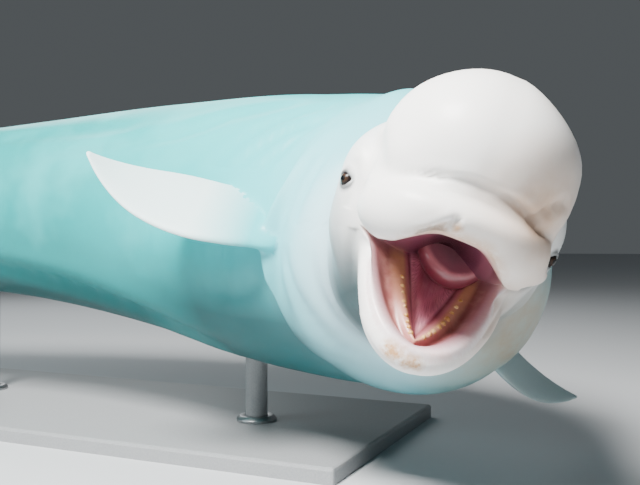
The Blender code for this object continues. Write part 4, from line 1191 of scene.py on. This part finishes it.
COLLAR_INNER = 0.0325
COLLAR_OUTER = 0.058
COLLAR_HEIGHT = 0.016
STEEL_GREYS = ((0.3, (0.44, 0.45, 0.46)), (0.7, (0.54, 0.55, 0.56)))
STEEL_GLOSS = {"Metallic": 1.0, "Roughness": 0.34}
collar_finish = grained_finish(
    "stand_steel_finish", (180.0, 3.0), STEEL_GREYS, STEEL_GLOSS, (600.0, 2.0), 0.1, 0.0003
)
for word in ("front", "rear"):
    low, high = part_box("stand_rod_" + word)
    made = bmesh.new()
    corners = ((COLLAR_INNER, 0.0), (COLLAR_OUTER, 0.0), (COLLAR_OUTER, COLLAR_HEIGHT * 0.45))
    corners += ((COLLAR_OUTER * 0.84, COLLAR_HEIGHT), (COLLAR_INNER, COLLAR_HEIGHT))
    profile = [made.verts.new((x, 0.0, z)) for x, z in corners]
    loop = [made.edges.new((profile[k], profile[(k + 1) % len(profile)])) for k in range(len(profile))]
    bmesh.ops.spin(
        made, geom=loop, cent=(0.0, 0.0, 0.0), axis=(0.0, 0.0, 1.0), dvec=(0.0, 0.0, 0.0),
        angle=2.0 * math.pi, steps=96, use_merge=True
    )
    bmesh.ops.recalc_face_normals(made, faces=made.faces[:])
    level = [edge for edge in made.edges if abs(edge.verts[0].co.z - edge.verts[1].co.z) < 1e-6]
    rims = [edge for edge in level if edge.calc_face_angle(0.0) > 0.3]
    bmesh.ops.bevel(made, geom=rims, offset=0.0015, segments=3, profile=0.5, affect="EDGES", material=-1)
    centre = ((low[0] + high[0]) / 2.0, (low[1] + high[1]) / 2.0, low[2])
    bmesh.ops.translate(made, verts=made.verts[:], vec=centre)
    collar = placed("stand_collar_" + word, made, collar_finish)
    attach(collar, "root")


# Studio: a pale floor, a soft key from the upper left of the view, fills and an even sky.
FLOOR_RADIUS = 40.0
made = bmesh.new()
bmesh.ops.create_circle(made, cap_ends=True, segments=96, radius=FLOOR_RADIUS)
floor_finish, tree, shader = finish("studio_floor_finish")
fill(shader, {"Base Color": (0.52, 0.54, 0.56, 1.0), "Roughness": 0.85})
floor = placed("studio_floor", made, floor_finish)


def softbox(name, place, aim, size, power, colour):
    """Square area light aimed at a point."""
    light = bpy.data.lights.new(name, "AREA")
    light.size = size
    light.energy = power
    light.color = colour
    lamp = bpy.data.objects.new(name, light)
    lamp.location = place
    way = np.array(aim) - np.array(place)
    pitch = math.atan2(-way[2], math.hypot(way[0], way[1]))
    lamp.rotation_euler = (math.pi / 2.0 - pitch, 0.0, math.atan2(way[1], way[0]) - math.pi / 2.0)
    bpy.context.scene.collection.objects.link(lamp)


AIM = (1.2, -0.2, 0.6)
key_place = np.array(camera.location) - across * 1.1 + ahead * 0.3 + np.array((0.0, 0.0, 2.4))
softbox("key_light", tuple(key_place), AIM, 1.0, 480.0, (1.0, 0.98, 0.95))
softbox("side_light", (-2.8, -3.2, 3.0), (-0.9, 0.2, 0.5), 3.0, 100.0, (0.80, 0.97, 1.0))
softbox("rear_light", (-2.8, 3.6, 3.5), (-0.6, 0.2, 0.5), 3.0, 110.0, (0.96, 0.99, 1.0))

sky = bpy.data.worlds.new("studio_sky")
sky.use_nodes = True
fill(sky.node_tree.nodes["Background"], {"Color": (0.62, 0.68, 0.72, 1.0), "Strength": 0.14})
bpy.context.scene.world = sky
